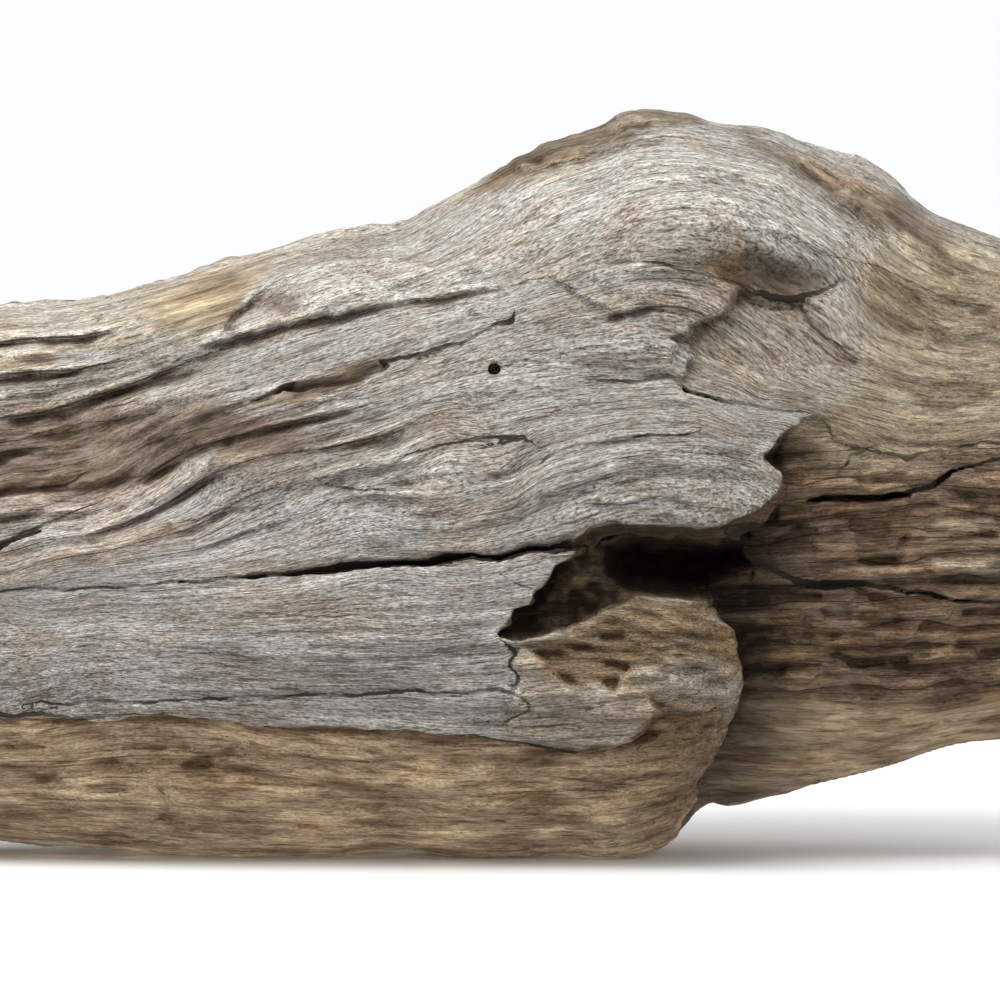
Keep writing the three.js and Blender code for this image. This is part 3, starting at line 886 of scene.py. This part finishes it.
def new_mesh(name, points, faces):
    """A mesh from points in millimetres and faces that all have the same count of corners."""
    mesh = bpy.data.meshes.new(name)
    mesh.vertices.add(len(points))
    mesh.vertices.foreach_set("co", (np.asarray(points) * MM).astype(np.float32).ravel())
    sides = faces.shape[1]
    mesh.loops.add(faces.size)
    mesh.loops.foreach_set("vertex_index", faces.astype(np.int32).ravel())
    mesh.polygons.add(len(faces))
    mesh.polygons.foreach_set("loop_start", np.arange(0, faces.size, sides, dtype=np.int32))
    mesh.polygons.foreach_set("loop_total", np.full(len(faces), sides, np.int32))
    mesh.update()
    mesh.validate()
    return mesh


def enclosed(points, quads):
    """Signed volume: positive when the faces point outwards."""
    a, b, c, d = (points[quads[:, i]] for i in range(4))
    return np.einsum("ij,ij->", a, np.cross(b, c)) + np.einsum("ij,ij->", a, np.cross(c, d))


if enclosed(points, quads) < 0:
    quads = quads[:, ::-1]

# Only the main body is kept: crumbs cut free by the splits fall out.
body = np.arange(len(points))
edges = np.concatenate([quads[:, [0, 1]], quads[:, [1, 2]], quads[:, [2, 3]]])
while True:
    one, other = body[edges[:, 0]], body[edges[:, 1]]
    if np.array_equal(one, other):
        break
    np.minimum.at(body, np.maximum(one, other), np.minimum(one, other))
    while not np.array_equal(body, body[body]):
        body = body[body]
labels, counts = np.unique(body, return_counts=True)
kept = body == labels[np.argmax(counts)]
renumbered = np.cumsum(kept) - 1
quads = renumbered[quads[kept[quads[:, 0]]]]
points = points[kept]


def point_values(mesh, name):
    """One of the mesh's own values with three parts, at each of its points."""
    values = np.empty(len(mesh.vertices) * 3, np.float32)
    mesh.vertices.foreach_get(name, values)
    return values.reshape(-1, 3)


def whole_numbers(parts, name):
    """A whole number held by each of a mesh's faces or corners."""
    values = np.empty(len(parts), np.int32)
    parts.foreach_get(name, values)
    return values


def thinned(mesh, shown, faces_left):
    """The mesh with one half of it, shown or behind, brought down to fewer triangles."""
    holder = bpy.data.objects.new("thinning", mesh)
    scene.collection.objects.link(holder)
    in_front = point_values(mesh, "co")[:, 1] < 0
    group = holder.vertex_groups.new(name="thin_here")
    group.add(np.nonzero(in_front == shown)[0].tolist(), 1.0, "REPLACE")
    triangles = whole_numbers(mesh.polygons, "loop_total") - 2
    starts = whole_numbers(mesh.polygons, "loop_start")
    here = in_front[whole_numbers(mesh.loops, "vertex_index")[starts]] == shown
    faces = triangles.sum()
    untouched = triangles[~here].sum()
    thinner = holder.modifiers.new("thin", "DECIMATE")
    thinner.ratio = min(1.0, (untouched + faces_left) / faces)
    thinner.vertex_group = group.name
    bpy.context.view_layer.update()
    result = bpy.data.meshes.new_from_object(
        holder.evaluated_get(bpy.context.evaluated_depsgraph_get())
    )
    bpy.data.objects.remove(holder)
    return result


wood_mesh = new_mesh("driftwood_skin", points, quads)
wood_mesh = thinned(wood_mesh, False, FACES_BEHIND)
wood_mesh = thinned(wood_mesh, True, FACES_SHOWN)
wood_mesh.name = "driftwood_skin"
wood = bpy.data.objects.new("driftwood_skin", wood_mesh)
scene.collection.objects.link(wood)

# What the finish needs to know at each point: where it is in the grain, its stain, and
# how split, sheltered and rotten it is.
x, y, z = point_values(wood_mesh, "co").T / MM
spot_level = level_at(x, z)
spot_torn_x, spot_torn_z = wander(x, z)

GREY_SHELL = (0.357, 0.351, 0.333)
GREY_BOARD = (0.409, 0.405, 0.393)
COOL_SHELL = (0.47, 0.465, 0.47)
MID_GREY = (0.27, 0.262, 0.24)
WHITE = (0.45, 0.44, 0.415)
PALE_DOME = (0.436, 0.436, 0.412)
# Painted shade under the dome's overhang.
UNDER_DOME_SHADE = (0.090, 0.064, 0.041)
BAY_TAN = (0.325, 0.295, 0.248)
SHOULDER_TAN = (0.341, 0.298, 0.222)
VALLEY_BROWN = (0.180, 0.132, 0.090)
PALE_TAN = (0.433, 0.405, 0.350)
GOLD = (0.320, 0.250, 0.145)
TAN = (0.500, 0.385, 0.255)
END_TAN = (0.30, 0.245, 0.18)
FLAKE_GREY = (0.335, 0.300, 0.250)
KNOB_TAN = (0.245, 0.187, 0.120)
KNOB_BROWN = (0.160, 0.112, 0.064)
CREST_BROWN = (0.15, 0.115, 0.075)
ROT_BROWN = (0.215, 0.155, 0.106)
# Painted shade of the hollow under the lip.
HOLLOW_PAINTED_SHADE = (0.042, 0.027, 0.016)

# Stains of the old skin, laid over each other in this order: the colour, how soft the edge
# is, how much of it shows, and the outline of [x, z]. The dark one under the dome is painted shade.
STAINS_AND_SHADE = [
    (GREY_BOARD, 6, 1, [(-225, 92), (24, 106), (24, 40), (-225, 40)]),
    (PALE_DOME, 22, 1, [(-60, 200), (-20, 235), (40, 256), (100, 244), (128, 215),
                        (110, 190), (70, 200), (20, 200), (-30, 185)]),
    (SHOULDER_TAN, 12, 1, [(102, 136), (108, 160), (112, 190), (128, 215), (160, 216),
                           (230, 190), (230, 130)]),
    (BAY_TAN, 5, 1, BAY),
    # painted shade under the dome's overhang
    (UNDER_DOME_SHADE, 6, 0.9, [(53, 202), (80, 208), (108, 203), (112, 196), (100, 190),
                           (81, 191), (63, 198)]),
    (PALE_TAN, 7, 1, [(-225, 196), (-168, 196), (-48, 222), (-58, 206), (-86, 196),
                      (-92, 182), (-134, 176), (-168, 172), (-225, 170)]),
    (GOLD, 5, 0.75, [(-120, 190), (-106, 200), (-84, 203), (-85, 190), (-91, 182), (-116, 180)]),
    (GOLD, 3, 0.6, [(-215, 166), (-166, 172), (-120, 180), (-120, 177), (-166, 168), (-215, 162)]),
    (WHITE, 3, 0.8, [(-86, 181), (-83, 193), (-70, 202), (-45, 208), (-30, 203), (-66, 184)]),
    (VALLEY_BROWN, 2.5, 0.8, [(-80, 188), (-75, 194), (-67, 192), (-66, 186), (-73, 183)]),
    (MID_GREY, 5, 0.8, [(-220, 160), (-166, 165), (-133, 173), (-100, 178), (-60, 180),
                         (-90, 168), (-126, 162), (-166, 154), (-220, 150)]),
    (VALLEY_BROWN, 7, 0.8, [(-220, 150), (-166, 153), (-123, 158), (-90, 155), (-58, 145),
                            (-68, 135), (-106, 128), (-146, 114), (-220, 98)]),
    (COOL_SHELL, 8, 0.6, [(-220, 100), (-166, 99), (-90, 103), (-45, 108), (-35, 120), (-70, 128),
                          (-110, 128), (-166, 117), (-220, 115)]),
    (VALLEY_BROWN, 1, 0.85, [(-78, 157), (-68, 164), (-56, 167), (-44, 170), (-36, 171), (-37, 166),
                             (-46, 162), (-56, 159), (-68, 156)]),
    (WHITE, 2, 0.6, [(-134, 118), (-123, 127), (-103, 136), (-95, 138), (-100, 130),
                     (-123, 121)]),
    (TAN, 4, 0.5, [(-215, 96), (-166, 102), (-120, 116), (-90, 118), (-120, 108), (-166, 96)]),
    (KNOB_TAN, 3, 1, KNOB),
    (KNOB_BROWN, 9, 0.75, [(20, 72), (46, 62), (54, 52), (40, 40), (60, 0), (70, 10),
                           (74, 40), (84, 60), (80, 78), (60, 84)]),
    (PALE_TAN, 5, 0.7, [(40, 64), (56, 74), (74, 70), (80, 62), (78, 54), (60, 56), (52, 58)]),
    (FLAKE_GREY, 1.2, 0.9, LOW_FLAKE),
    (CREST_BROWN, 3, 0.8, [(-6, 228), (13, 235), (40, 243), (48, 250), (70, 252), (62, 262), (30, 262),
                           (-6, 240)]),
    (CREST_BROWN, 3, 0.8, [(83, 250), (107, 242), (140, 226), (160, 214), (150, 206),
                           (124, 216), (104, 230), (83, 246)]),
    (WHITE, 2, 0.7, [(110, 244), (135, 236), (146, 226), (132, 228), (112, 238)]),
]

def stained(wood_colour, colour, cover):
    """The colour of each point with another laid over it, as far as it is covered."""
    cover = cover[:, None]
    return wood_colour * (1 - cover) + np.array(colour) * cover


def plain_wood(colour):
    """One colour for every point."""
    return np.array(colour) * np.ones((len(x), 1))


tint = plain_wood(GREY_SHELL)
edge_wander = 2.5 * noise(x / 16, spot_level / 5, 61) + 1.8 * noise(x / 6, spot_level / 1.6, 62)
for colour, softness, share, outline in STAINS_AND_SHADE:
    inside = -outline_distance(outline, spot_torn_x, spot_torn_z) + edge_wander
    tint = stained(tint, colour, share * rise(inside, -softness, softness))
# The sides that the show face hides have broad tones of the same woods.
hidden = plain_wood(GREY_BOARD)
for colour, seed, least, share in (
    (TAN, 71, -0.15, 0.6), (VALLEY_BROWN, 72, 0.1, 0.75), (PALE_TAN, 73, 0.15, 0.6)
):
    cover = noise(x / 95, spot_level / 22, y / 45 + seed) + 0.3 * noise(x / 22, spot_level / 5, seed)
    hidden = stained(hidden, colour, share * rise(cover, least, least + 0.4))
hidden = stained(hidden, np.array(TAN) * 0.8, rise(40 - z, 0, 40) * 0.6)
showing = rise(-y, -8, 20)[:, None]
tint = tint * showing + hidden * (1 - showing)

# End grain: bare cut fibres, in rings round the pith.
facing_end = np.abs(point_values(wood_mesh, "normal")[:, 0])
end_grain = rise(facing_end, 0.45, 0.8) * rise(np.abs(x), 150, 178)
ring_radius = np.hypot(y - PITH[0], z - PITH[1]) + 5 * noise(y / 34, z / 30, 74)
tint = stained(tint, END_TAN, end_grain)

# Where the skin is torn off, the wood under it has colours of its own, with painted
# shade laid over the left of the heart and over the hollow under the lip.
spot_heart = outline_distance(HEART, spot_torn_x, spot_torn_z)
spot_hollow = outline_distance(HOLLOW, spot_torn_x, spot_torn_z)
spot_flank = outline_distance(FLANK, spot_torn_x, spot_torn_z)
torn_edge = np.minimum(np.minimum(spot_heart, spot_hollow), spot_flank)
torn_edge = np.where(y < 0, torn_edge, FAR).astype(np.float32)
in_heart = (spot_heart < 0) & (y < 0)
above_edge = above_lower_edge(spot_torn_x, spot_torn_z)
rotten = rise(above_edge, -4, 4) * rise(-spot_heart, -1, 1)
bare_and_shade = stained(plain_wood(TAN), ROT_BROWN, rotten)
old_rot = 0.65 * (rise(z, 126, 142) * rotten * rise(x, 98, 112))
bare_and_shade = stained(bare_and_shade, SHOULDER_TAN, old_rot)
plate = 0.6 * rise(-outline_distance(PLATE, spot_torn_x, spot_torn_z), -1, 2)
bare_and_shade = stained(bare_and_shade, SHOULDER_TAN, plate)
# Painted shade: the heart is darker on its left, under the lip and beside the knob.
heart_shade = (0.35 + 0.65 * rise(x, 84, 116))[:, None]
bare_and_shade = np.where((spot_heart < 0)[:, None], bare_and_shade * heart_shade, bare_and_shade)
under_knob = (rise(x, 26, 60) * rise(-spot_flank, -1, 1)) * 0.7
bare_and_shade = stained(bare_and_shade, KNOB_BROWN, under_knob)
# Painted shade: the hollow under the lip, and its deepest hole most, darkened almost to black.
hollow_shade_cover = rise(-outline_distance(BLACK_HOLE, spot_torn_x, spot_torn_z), -4, 1)
hollow_shade_cover = np.maximum(hollow_shade_cover, 0.9 * rise(-spot_hollow, -3, 1))
bare_and_shade = stained(bare_and_shade, HOLLOW_PAINTED_SHADE, hollow_shade_cover)

# How fine and bright the fibres stand out: most on old grey skin.
redness = (tint[:, 0] - tint[:, 2]) / tint[:, 0]
crisp = 1 - 0.55 * rise(redness, 0.2, 0.42)
knob = rise(-outline_distance(KNOB, spot_torn_x, spot_torn_z), -4, 4)
crisp = np.maximum(crisp, 0.9 * knob)
crisp = np.where(torn_edge < 0, 0.65, crisp)
crisp = np.where(in_heart, 0.3 + 0.4 * rotten, crisp)
crisp = crisp * (1 - 0.8 * end_grain)

# Crevices of the relief, over 0, and its ridges, under 0, in millimetres: the finish paints
# shade into the crevices and a highlight on the ridges.
blurred = relief
for _ in range(round(10 / VOXEL)):
    blurred = softened(blurred)
column = np.clip(((x - xs[0]) / VOXEL + 0.5).astype(int), 0, len(xs) - 1)
tier = np.clip(((z - zs[0]) / VOXEL + 0.5).astype(int), 0, len(zs) - 1)
crevice = np.where((y < -10) & (torn_edge > 0), (blurred - relief)[column, tier], 0)

close_now = sample(close_wood, x, y, z)
wide_now = sample(wide_wood, x, y, z)
shelter = np.clip(0.5 + 1.6 * (close_now - 0.5) + 1.2 * (wide_now - 0.5), 0, 1)

# The lines that the finish draws: splits, painted as the shadow in their gaps, and the
# shadow under each broken layer.
LEDGE_HALF_WIDTH = 0.1
drawn = [line for _, _, line in SPLITS]
drawn += [[(*point, LEDGE_HALF_WIDTH) for point in line] for _, _, line in LEDGES]
on_show = nearest_line(drawn, spot_torn_x, spot_torn_z)
on_back = nearest_line([line for _, _, line in BACK_SPLITS], spot_torn_x, spot_torn_z)
across, apart, half_width, _ = (np.where(y < 0, f, b) for f, b in zip(on_show, on_back))
beyond = np.where(np.abs(y) > SPLIT_SEAM, apart - half_width, FAR)

# The bands that it draws: two sizes of growth layer, or of rotten rows in the heart.
bands = np.stack([band_of(x, spot_level, pitch, seed) for pitch, seed, _ in LAYERS[:2]], 1)
steps = layer_strength(x, bands[:, 0], LAYERS[0][1])
steps = steps * np.clip(wear_at(x, z, 0.3), 0, 1)
spot_heart_level = heart_level_at(x, z)
spot_rows = heart_bands(x, spot_heart_level)
bands = np.where(in_heart[:, None], np.stack(spot_rows, 1), bands)
steps = np.where(in_heart, 0.8 * rotten, steps)

grain_level = np.where(in_heart, spot_heart_level, spot_level)
grain_place = np.stack([x, grain_level, y], 1)
for name, values in (
    ("grain", grain_place),
    ("wear_and_shade", np.stack([crisp, shelter, torn_edge], 1)),
    ("lines", np.stack([across, beyond, half_width], 1)),
    ("bands", np.column_stack([bands, steps])),
    ("rings", np.stack([end_grain, ring_radius, crevice], 1)),
    ("stain_and_shade", tint),
    ("bare_and_shade", bare_and_shade),
):
    layer = wood_mesh.attributes.new(name, "FLOAT_VECTOR", "POINT")
    layer.data.foreach_set("vector", values.astype(np.float32).ravel())
wood_mesh.polygons.foreach_set("use_smooth", np.ones(len(wood_mesh.polygons), bool))
wood_mesh.set_sharp_from_angle(angle=math.radians(CREASE))


class Finish:
    """A node material under construction; every method returns the new node's output."""

    def __init__(self, name):
        self.material = bpy.data.materials.new(name)
        self.material.use_nodes = True
        self.tree = self.material.node_tree
        self.tree.nodes.clear()

    def add(self, kind, **settings):
        node = self.tree.nodes.new(kind)
        for name, value in settings.items():
            setattr(node, name, value)
        return node

    def feed(self, socket, value):
        if isinstance(value, bpy.types.NodeSocket):
            self.tree.links.new(value, socket)
        else:
            socket.default_value = value

    def attribute(self, name, output="Vector"):
        return self.add("ShaderNodeAttribute", attribute_name=name).outputs[output]

    def noise(self, place, cell, detail=2.0, roughness=0.55, distortion=0.0):
        """Noise over the grain, with cells of the given length, height and depth in mm."""
        scaled = self.add("ShaderNodeVectorMath", operation="DIVIDE")
        self.feed(scaled.inputs[0], place)
        self.feed(scaled.inputs[1], cell)
        texture = self.add("ShaderNodeTexNoise")
        self.feed(texture.inputs["Vector"], scaled.outputs[0])
        self.feed(texture.inputs["Scale"], 1.0)
        self.feed(texture.inputs["Detail"], detail)
        self.feed(texture.inputs["Roughness"], roughness)
        self.feed(texture.inputs["Distortion"], distortion)
        return texture.outputs["Fac"]

    def math(self, operation, a, b=0.0, c=0.0):
        node = self.add("ShaderNodeMath", operation=operation)
        for socket, value in zip(node.inputs, (a, b, c)):
            self.feed(socket, value)
        return node.outputs[0]

    def parts(self, vector):
        node = self.add("ShaderNodeSeparateXYZ")
        self.feed(node.inputs[0], vector)
        return node.outputs

    def ramp(self, value, start, end, low=0.0, high=1.0):
        node = self.add("ShaderNodeMapRange", interpolation_type="SMOOTHSTEP")
        for socket, number in zip(node.inputs, (value, start, end, low, high)):
            self.feed(socket, number)
        return node.outputs[0]

    def mix(self, share, a, b, blend="MIX"):
        node = self.add("ShaderNodeMix", data_type="RGBA", blend_type=blend)
        self.feed(node.inputs["Factor"], share)
        self.feed(node.inputs[6], a)
        self.feed(node.inputs[7], b)
        return node.outputs[2]


finish = Finish("weathered_wood")
place = finish.attribute("grain")
crisp_mask, shelter_mask, torn_distance = finish.parts(finish.attribute("wear_and_shade"))
line_across, line_beyond, line_half = finish.parts(finish.attribute("lines"))
wide_band, narrow_band, band_step = finish.parts(finish.attribute("bands"))
place_x, place_level, place_y = finish.parts(place)


def times(a, b):
    """Two values of the finish multiplied."""
    return finish.math("MULTIPLY", a, b)


def shade(colour, share, value, start, end, other, blend="MULTIPLY"):
    """The colour with another laid over it where a value passes from start to end."""
    return finish.mix(times(finish.ramp(value, start, end), share), colour, other, blend)


specks = finish.noise(place, (1.5, 0.38, 0.38), detail=1, roughness=0.6)
fibres = finish.noise(place, (5.5, 0.5, 0.5), detail=2, roughness=0.6)
threads = finish.noise(place, (24, 1.0, 1.8), detail=2, roughness=0.6)
streaks = finish.noise(place, (60, 3.2, 3.2), detail=4, roughness=0.62)
wide_streaks = finish.noise(place, (110, 12, 12), detail=3)
dashes = finish.noise(place, (11, 0.55, 1.6), detail=0.5)
patches = finish.noise(place, (24, 8, 14), detail=3)
blotches = finish.noise(place, (36, 20, 24), detail=4)
mottles = finish.noise(place, (19, 2.4, 9), detail=3, roughness=0.62)
jags = finish.noise(place, (2.6, 0.9, 0.9), detail=2, roughness=0.65)
slanted = finish.add("ShaderNodeCombineXYZ")
finish.feed(slanted.inputs[0], finish.math("MULTIPLY_ADD", place_level, 1.7, place_x))
finish.feed(slanted.inputs[1], place_level)
finish.feed(slanted.inputs[2], place_y)
feathers = finish.noise(slanted.outputs[0], (2.2, 0.9, 0.9), detail=1, roughness=0.6)

# Growth rings: their fine edges cut the surface as lines along the grain.
ring = finish.math("MULTIPLY_ADD", place_y, 0.3, place_level)
ring = finish.math("MULTIPLY_ADD", streaks, 5.0, ring)
ring = finish.math("FRACT", finish.math("MULTIPLY", ring, 0.55))
ring_line = times(finish.ramp(ring, 0.62, 0.95), finish.ramp(ring, 1.0, 0.97))
ring_line = times(ring_line, finish.ramp(patches, 0.40, 0.62))

# End grain: the same rings seen end on.
end_mask, ring_radius, crevice = finish.parts(finish.attribute("rings"))
end_ring = finish.math("MULTIPLY_ADD", ring_radius, 0.36, times(blotches, 1.5))
end_ring = finish.math("FRACT", end_ring)
end_ring = times(finish.ramp(end_ring, 0.35, 0.92), finish.ramp(end_ring, 1.0, 0.94))
end_ring = times(end_ring, end_mask)

# Broken steps: a painted shadow line in the corner under each one.
wide_share = finish.math("FRACT", wide_band)
narrow_share = finish.math("FRACT", narrow_band)
wide_corner = times(finish.ramp(wide_share, 0.93, 0.985), finish.ramp(band_step, 0.25, 0.7))
narrow_corner = times(finish.ramp(narrow_share, 0.86, 0.96), finish.ramp(band_step, 0.2, 0.7))
narrow_corner = times(narrow_corner, finish.ramp(patches, 0.35, 0.6))
off_ends = finish.math("SUBTRACT", 1.0, end_mask)
wide_corner = times(wide_corner, off_ends)
narrow_corner = times(narrow_corner, off_ends)

# Splits drawn finer than the mesh could hold them, as painted shadow in their gaps.
offset = finish.math("MULTIPLY_ADD", finish.math("SUBTRACT", jags, 0.5), 1.3, line_across)
beside = finish.math("MULTIPLY_ADD", line_half, -0.8, finish.math("ABSOLUTE", offset))
split_line = times(finish.ramp(beside, 0.22, -0.06), finish.ramp(line_beyond, 1.3, 0.9))
split_line = times(split_line, finish.ramp(line_half, 0.0, 0.35, 0.5, 1.0))
split_line = times(split_line, finish.math("MAXIMUM", finish.ramp(patches, 0.36, 0.56), line_half))
split_line = times(split_line, finish.ramp(line_half, 2.0, 1.5))  # a wide split shows its wood

torn_here = finish.math("MULTIPLY_ADD", finish.math("SUBTRACT", jags, 0.5), 1.5, torn_distance)
torn_mask = finish.ramp(torn_here, 0.35, -0.35)
warm_mask = finish.math("SUBTRACT", finish.ramp(crisp_mask, 0.95, 0.7), end_mask)
warm_mask = finish.math("MAXIMUM", warm_mask, 0.0)

# What the finish multiplies the wood's own colour by: tones of the wood, and painted
# shade for crevices, corners and sheltered spots.
UMBER = (0.36, 0.29, 0.23, 1)
OCHRE = (0.62, 0.50, 0.38, 1)
DUST = (0.62, 0.55, 0.48, 1)
STREAK_BROWN = (0.48, 0.41, 0.35, 1)
PATCH_BROWN = (0.52, 0.44, 0.36, 1)
MOTTLE_BROWN = (0.50, 0.42, 0.34, 1)
PEAT = (0.22, 0.17, 0.13, 1)
RING_BROWN = (0.35, 0.28, 0.22, 1)
CREVICE_SHADE_AND_RING_BROWN = (0.42, 0.34, 0.27, 1)
DIRT_AND_SHADE = (0.34, 0.27, 0.21, 1)
CORNER_SHADE = (0.30, 0.23, 0.17, 1)
DEEP_CORNER_SHADE = (0.20, 0.15, 0.11, 1)
# Sun-bleached streaks of the wood, and also a painted highlight on ridges and exposed edges.
BLEACH_AND_HIGHLIGHT = (1.62, 1.60, 1.55, 1)  # over 1: it brightens what it multiplies
# What it lays over that colour: rust, and the painted shadow in the splits.
RUST = (0.40, 0.26, 0.12, 1)
SPLIT_SHADOW = (0.018, 0.012, 0.008, 1)
colour = finish.mix(torn_mask, finish.attribute("stain_and_shade"), finish.attribute("bare_and_shade"))
colour = shade(colour, 0.45, blotches, 0.52, 0.70, OCHRE)
colour = shade(colour, 0.22, blotches, 0.50, 0.34, RUST, "MIX")
on_sides = finish.math("MULTIPLY_ADD", end_mask, -0.5, 0.6)  # weaker across the ends
on_skin = times(times(crisp_mask, off_ends), 0.7)
# Each shade in turn: its share, the texture, where that passes from none to full, the tone.
for share, texture, start, end, tone in (
    (0.55, wide_streaks, 0.45, 0.68, DUST),
    (0.25, wide_streaks, 0.48, 0.28, BLEACH_AND_HIGHLIGHT),
    (on_sides, streaks, 0.48, 0.70, STREAK_BROWN),
    (0.25, streaks, 0.46, 0.28, BLEACH_AND_HIGHLIGHT),
    (0.70, threads, 0.52, 0.68, UMBER),
    (times(warm_mask, 0.6), patches, 0.50, 0.64, PATCH_BROWN),
    (times(warm_mask, 0.6), patches, 0.47, 0.34, BLEACH_AND_HIGHLIGHT),
    (times(warm_mask, 0.7), mottles, 0.50, 0.68, MOTTLE_BROWN),
    (times(warm_mask, 0.6), mottles, 0.48, 0.32, BLEACH_AND_HIGHLIGHT),
    (times(crisp_mask, 0.85), fibres, 0.48, 0.70, UMBER),
    (times(crisp_mask, 0.70), fibres, 0.48, 0.28, BLEACH_AND_HIGHLIGHT),
    (times(crisp_mask, 0.85), specks, 0.50, 0.72, UMBER),
    (times(crisp_mask, 0.75), specks, 0.46, 0.28, BLEACH_AND_HIGHLIGHT),
    (times(crisp_mask, 0.35), feathers, 0.52, 0.74, UMBER),
    (on_skin, dashes, 0.66, 0.78, PEAT),
):
    colour = shade(colour, share, texture, start, end, tone)
colour = finish.mix(times(ring_line, 0.45), colour, RING_BROWN, "MULTIPLY")
colour = finish.mix(times(end_ring, 0.55), colour, CREVICE_SHADE_AND_RING_BROWN, "MULTIPLY")
# Dirt and painted shade in sheltered spots; rubbed pale wear and a painted highlight where the wood
# stands out.
colour = shade(colour, 0.8, shelter_mask, 0.54, 0.92, DIRT_AND_SHADE)
colour = shade(colour, times(crisp_mask, 0.45), shelter_mask, 0.46, 0.2, BLEACH_AND_HIGHLIGHT)
# Painted shade in the crevices of the relief and a painted highlight on its ridges.
colour = shade(colour, 0.75, crevice, 0.1, 1.3, CREVICE_SHADE_AND_RING_BROWN)
colour = shade(colour, 0.40, crevice, -0.2, -1.3, BLEACH_AND_HIGHLIGHT)
colour = finish.mix(times(narrow_corner, 0.70), colour, CORNER_SHADE, "MULTIPLY")
colour = finish.mix(times(wide_corner, 0.85), colour, DEEP_CORNER_SHADE, "MULTIPLY")
colour = finish.mix(times(split_line, 0.93), colour, SPLIT_SHADOW)

height = 0.0
for texture, tall in (
    (specks, -0.30), (fibres, -0.45), (feathers, -0.25), (threads, -0.55), (streaks, -0.8),
    (ring_line, -0.12), (narrow_share, -0.30), (wide_corner, -0.4), (split_line, -0.6),
    (blotches, -0.5), (end_ring, -0.5),
):
    height = finish.math("MULTIPLY_ADD", texture, tall, height)
bump = finish.add("ShaderNodeBump")
finish.feed(bump.inputs["Strength"], 1.0)
finish.feed(bump.inputs["Distance"], 0.8 * MM)
finish.feed(bump.inputs["Height"], height)
shader = finish.add("ShaderNodeBsdfPrincipled")
finish.feed(shader.inputs["Base Color"], colour)
finish.feed(shader.inputs["Roughness"], finish.ramp(streaks, 0.3, 0.7, 0.78, 0.95))
finish.feed(shader.inputs["Specular IOR Level"], 0.25)
finish.feed(shader.inputs["Normal"], bump.outputs["Normal"])
output = finish.add("ShaderNodeOutputMaterial")
finish.feed(output.inputs["Surface"], shader.outputs["BSDF"])
wood_mesh.materials.clear()
wood_mesh.materials.append(finish.material)

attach(wood, "root")
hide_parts("driftwood")

# ---------------------------------------------------------------------------
# The studio: a plain pale floor that runs far back, one big soft lamp overhead, and an
# even pale surround that is dimmer from below.
# ---------------------------------------------------------------------------
FLOOR_HALF = 30.0
floor_mesh = bpy.data.meshes.new("studio_floor")
corners = [(-FLOOR_HALF, -FLOOR_HALF, 0), (FLOOR_HALF, -FLOOR_HALF, 0),
           (FLOOR_HALF, FLOOR_HALF, 0), (-FLOOR_HALF, FLOOR_HALF, 0)]
floor_mesh.from_pydata(corners, [], [(0, 1, 2, 3)])
floor = bpy.data.objects.new("studio_floor", floor_mesh)
scene.collection.objects.link(floor)
floor.visible_diffuse = False
floor_finish = Finish("pale_floor")
floor_shader = floor_finish.add("ShaderNodeBsdfPrincipled")
floor_finish.feed(floor_shader.inputs["Base Color"], (0.86, 0.86, 0.85, 1))
floor_finish.feed(floor_shader.inputs["Roughness"], 0.9)
floor_output = floor_finish.add("ShaderNodeOutputMaterial")
floor_finish.feed(floor_output.inputs["Surface"], floor_shader.outputs["BSDF"])
floor_mesh.materials.append(floor_finish.material)

lamp_data = bpy.data.lights.new("overhead_lamp", "AREA")
lamp_data.shape = "RECTANGLE"
lamp_data.size = 1.0
lamp_data.size_y = 0.7
lamp_data.energy = 16.0
lamp = bpy.data.objects.new("overhead_lamp", lamp_data)
scene.collection.objects.link(lamp)
lamp.location = (-0.40, -0.62, 1.20)
aim = Vector((0.0, 0.0, 0.12)) - lamp.location
lamp.rotation_euler = aim.to_track_quat("-Z", "Y").to_euler()

surround = bpy.data.worlds.new("pale_surround")
scene.world = surround
surround.use_nodes = True
sky_nodes = surround.node_tree
sky_nodes.nodes.clear()
direction = sky_nodes.nodes.new("ShaderNodeTexCoord")
height_part = sky_nodes.nodes.new("ShaderNodeSeparateXYZ")
sky_nodes.links.new(direction.outputs["Generated"], height_part.inputs[0])
strength = sky_nodes.nodes.new("ShaderNodeMapRange")
sky_nodes.links.new(height_part.outputs["Z"], strength.inputs["Value"])
strength.inputs["From Min"].default_value = -0.25
strength.inputs["From Max"].default_value = 0.0
strength.inputs["To Min"].default_value = 0.62
strength.inputs["To Max"].default_value = 1.0
glow = sky_nodes.nodes.new("ShaderNodeBackground")
sky_nodes.links.new(strength.outputs["Result"], glow.inputs["Strength"])
glow.inputs["Color"].default_value = (0.97, 0.98, 1.0, 1)
sky_output = sky_nodes.nodes.new("ShaderNodeOutputWorld")
sky_nodes.links.new(glow.outputs[0], sky_output.inputs[0])
scene.view_settings.view_transform = "Standard"
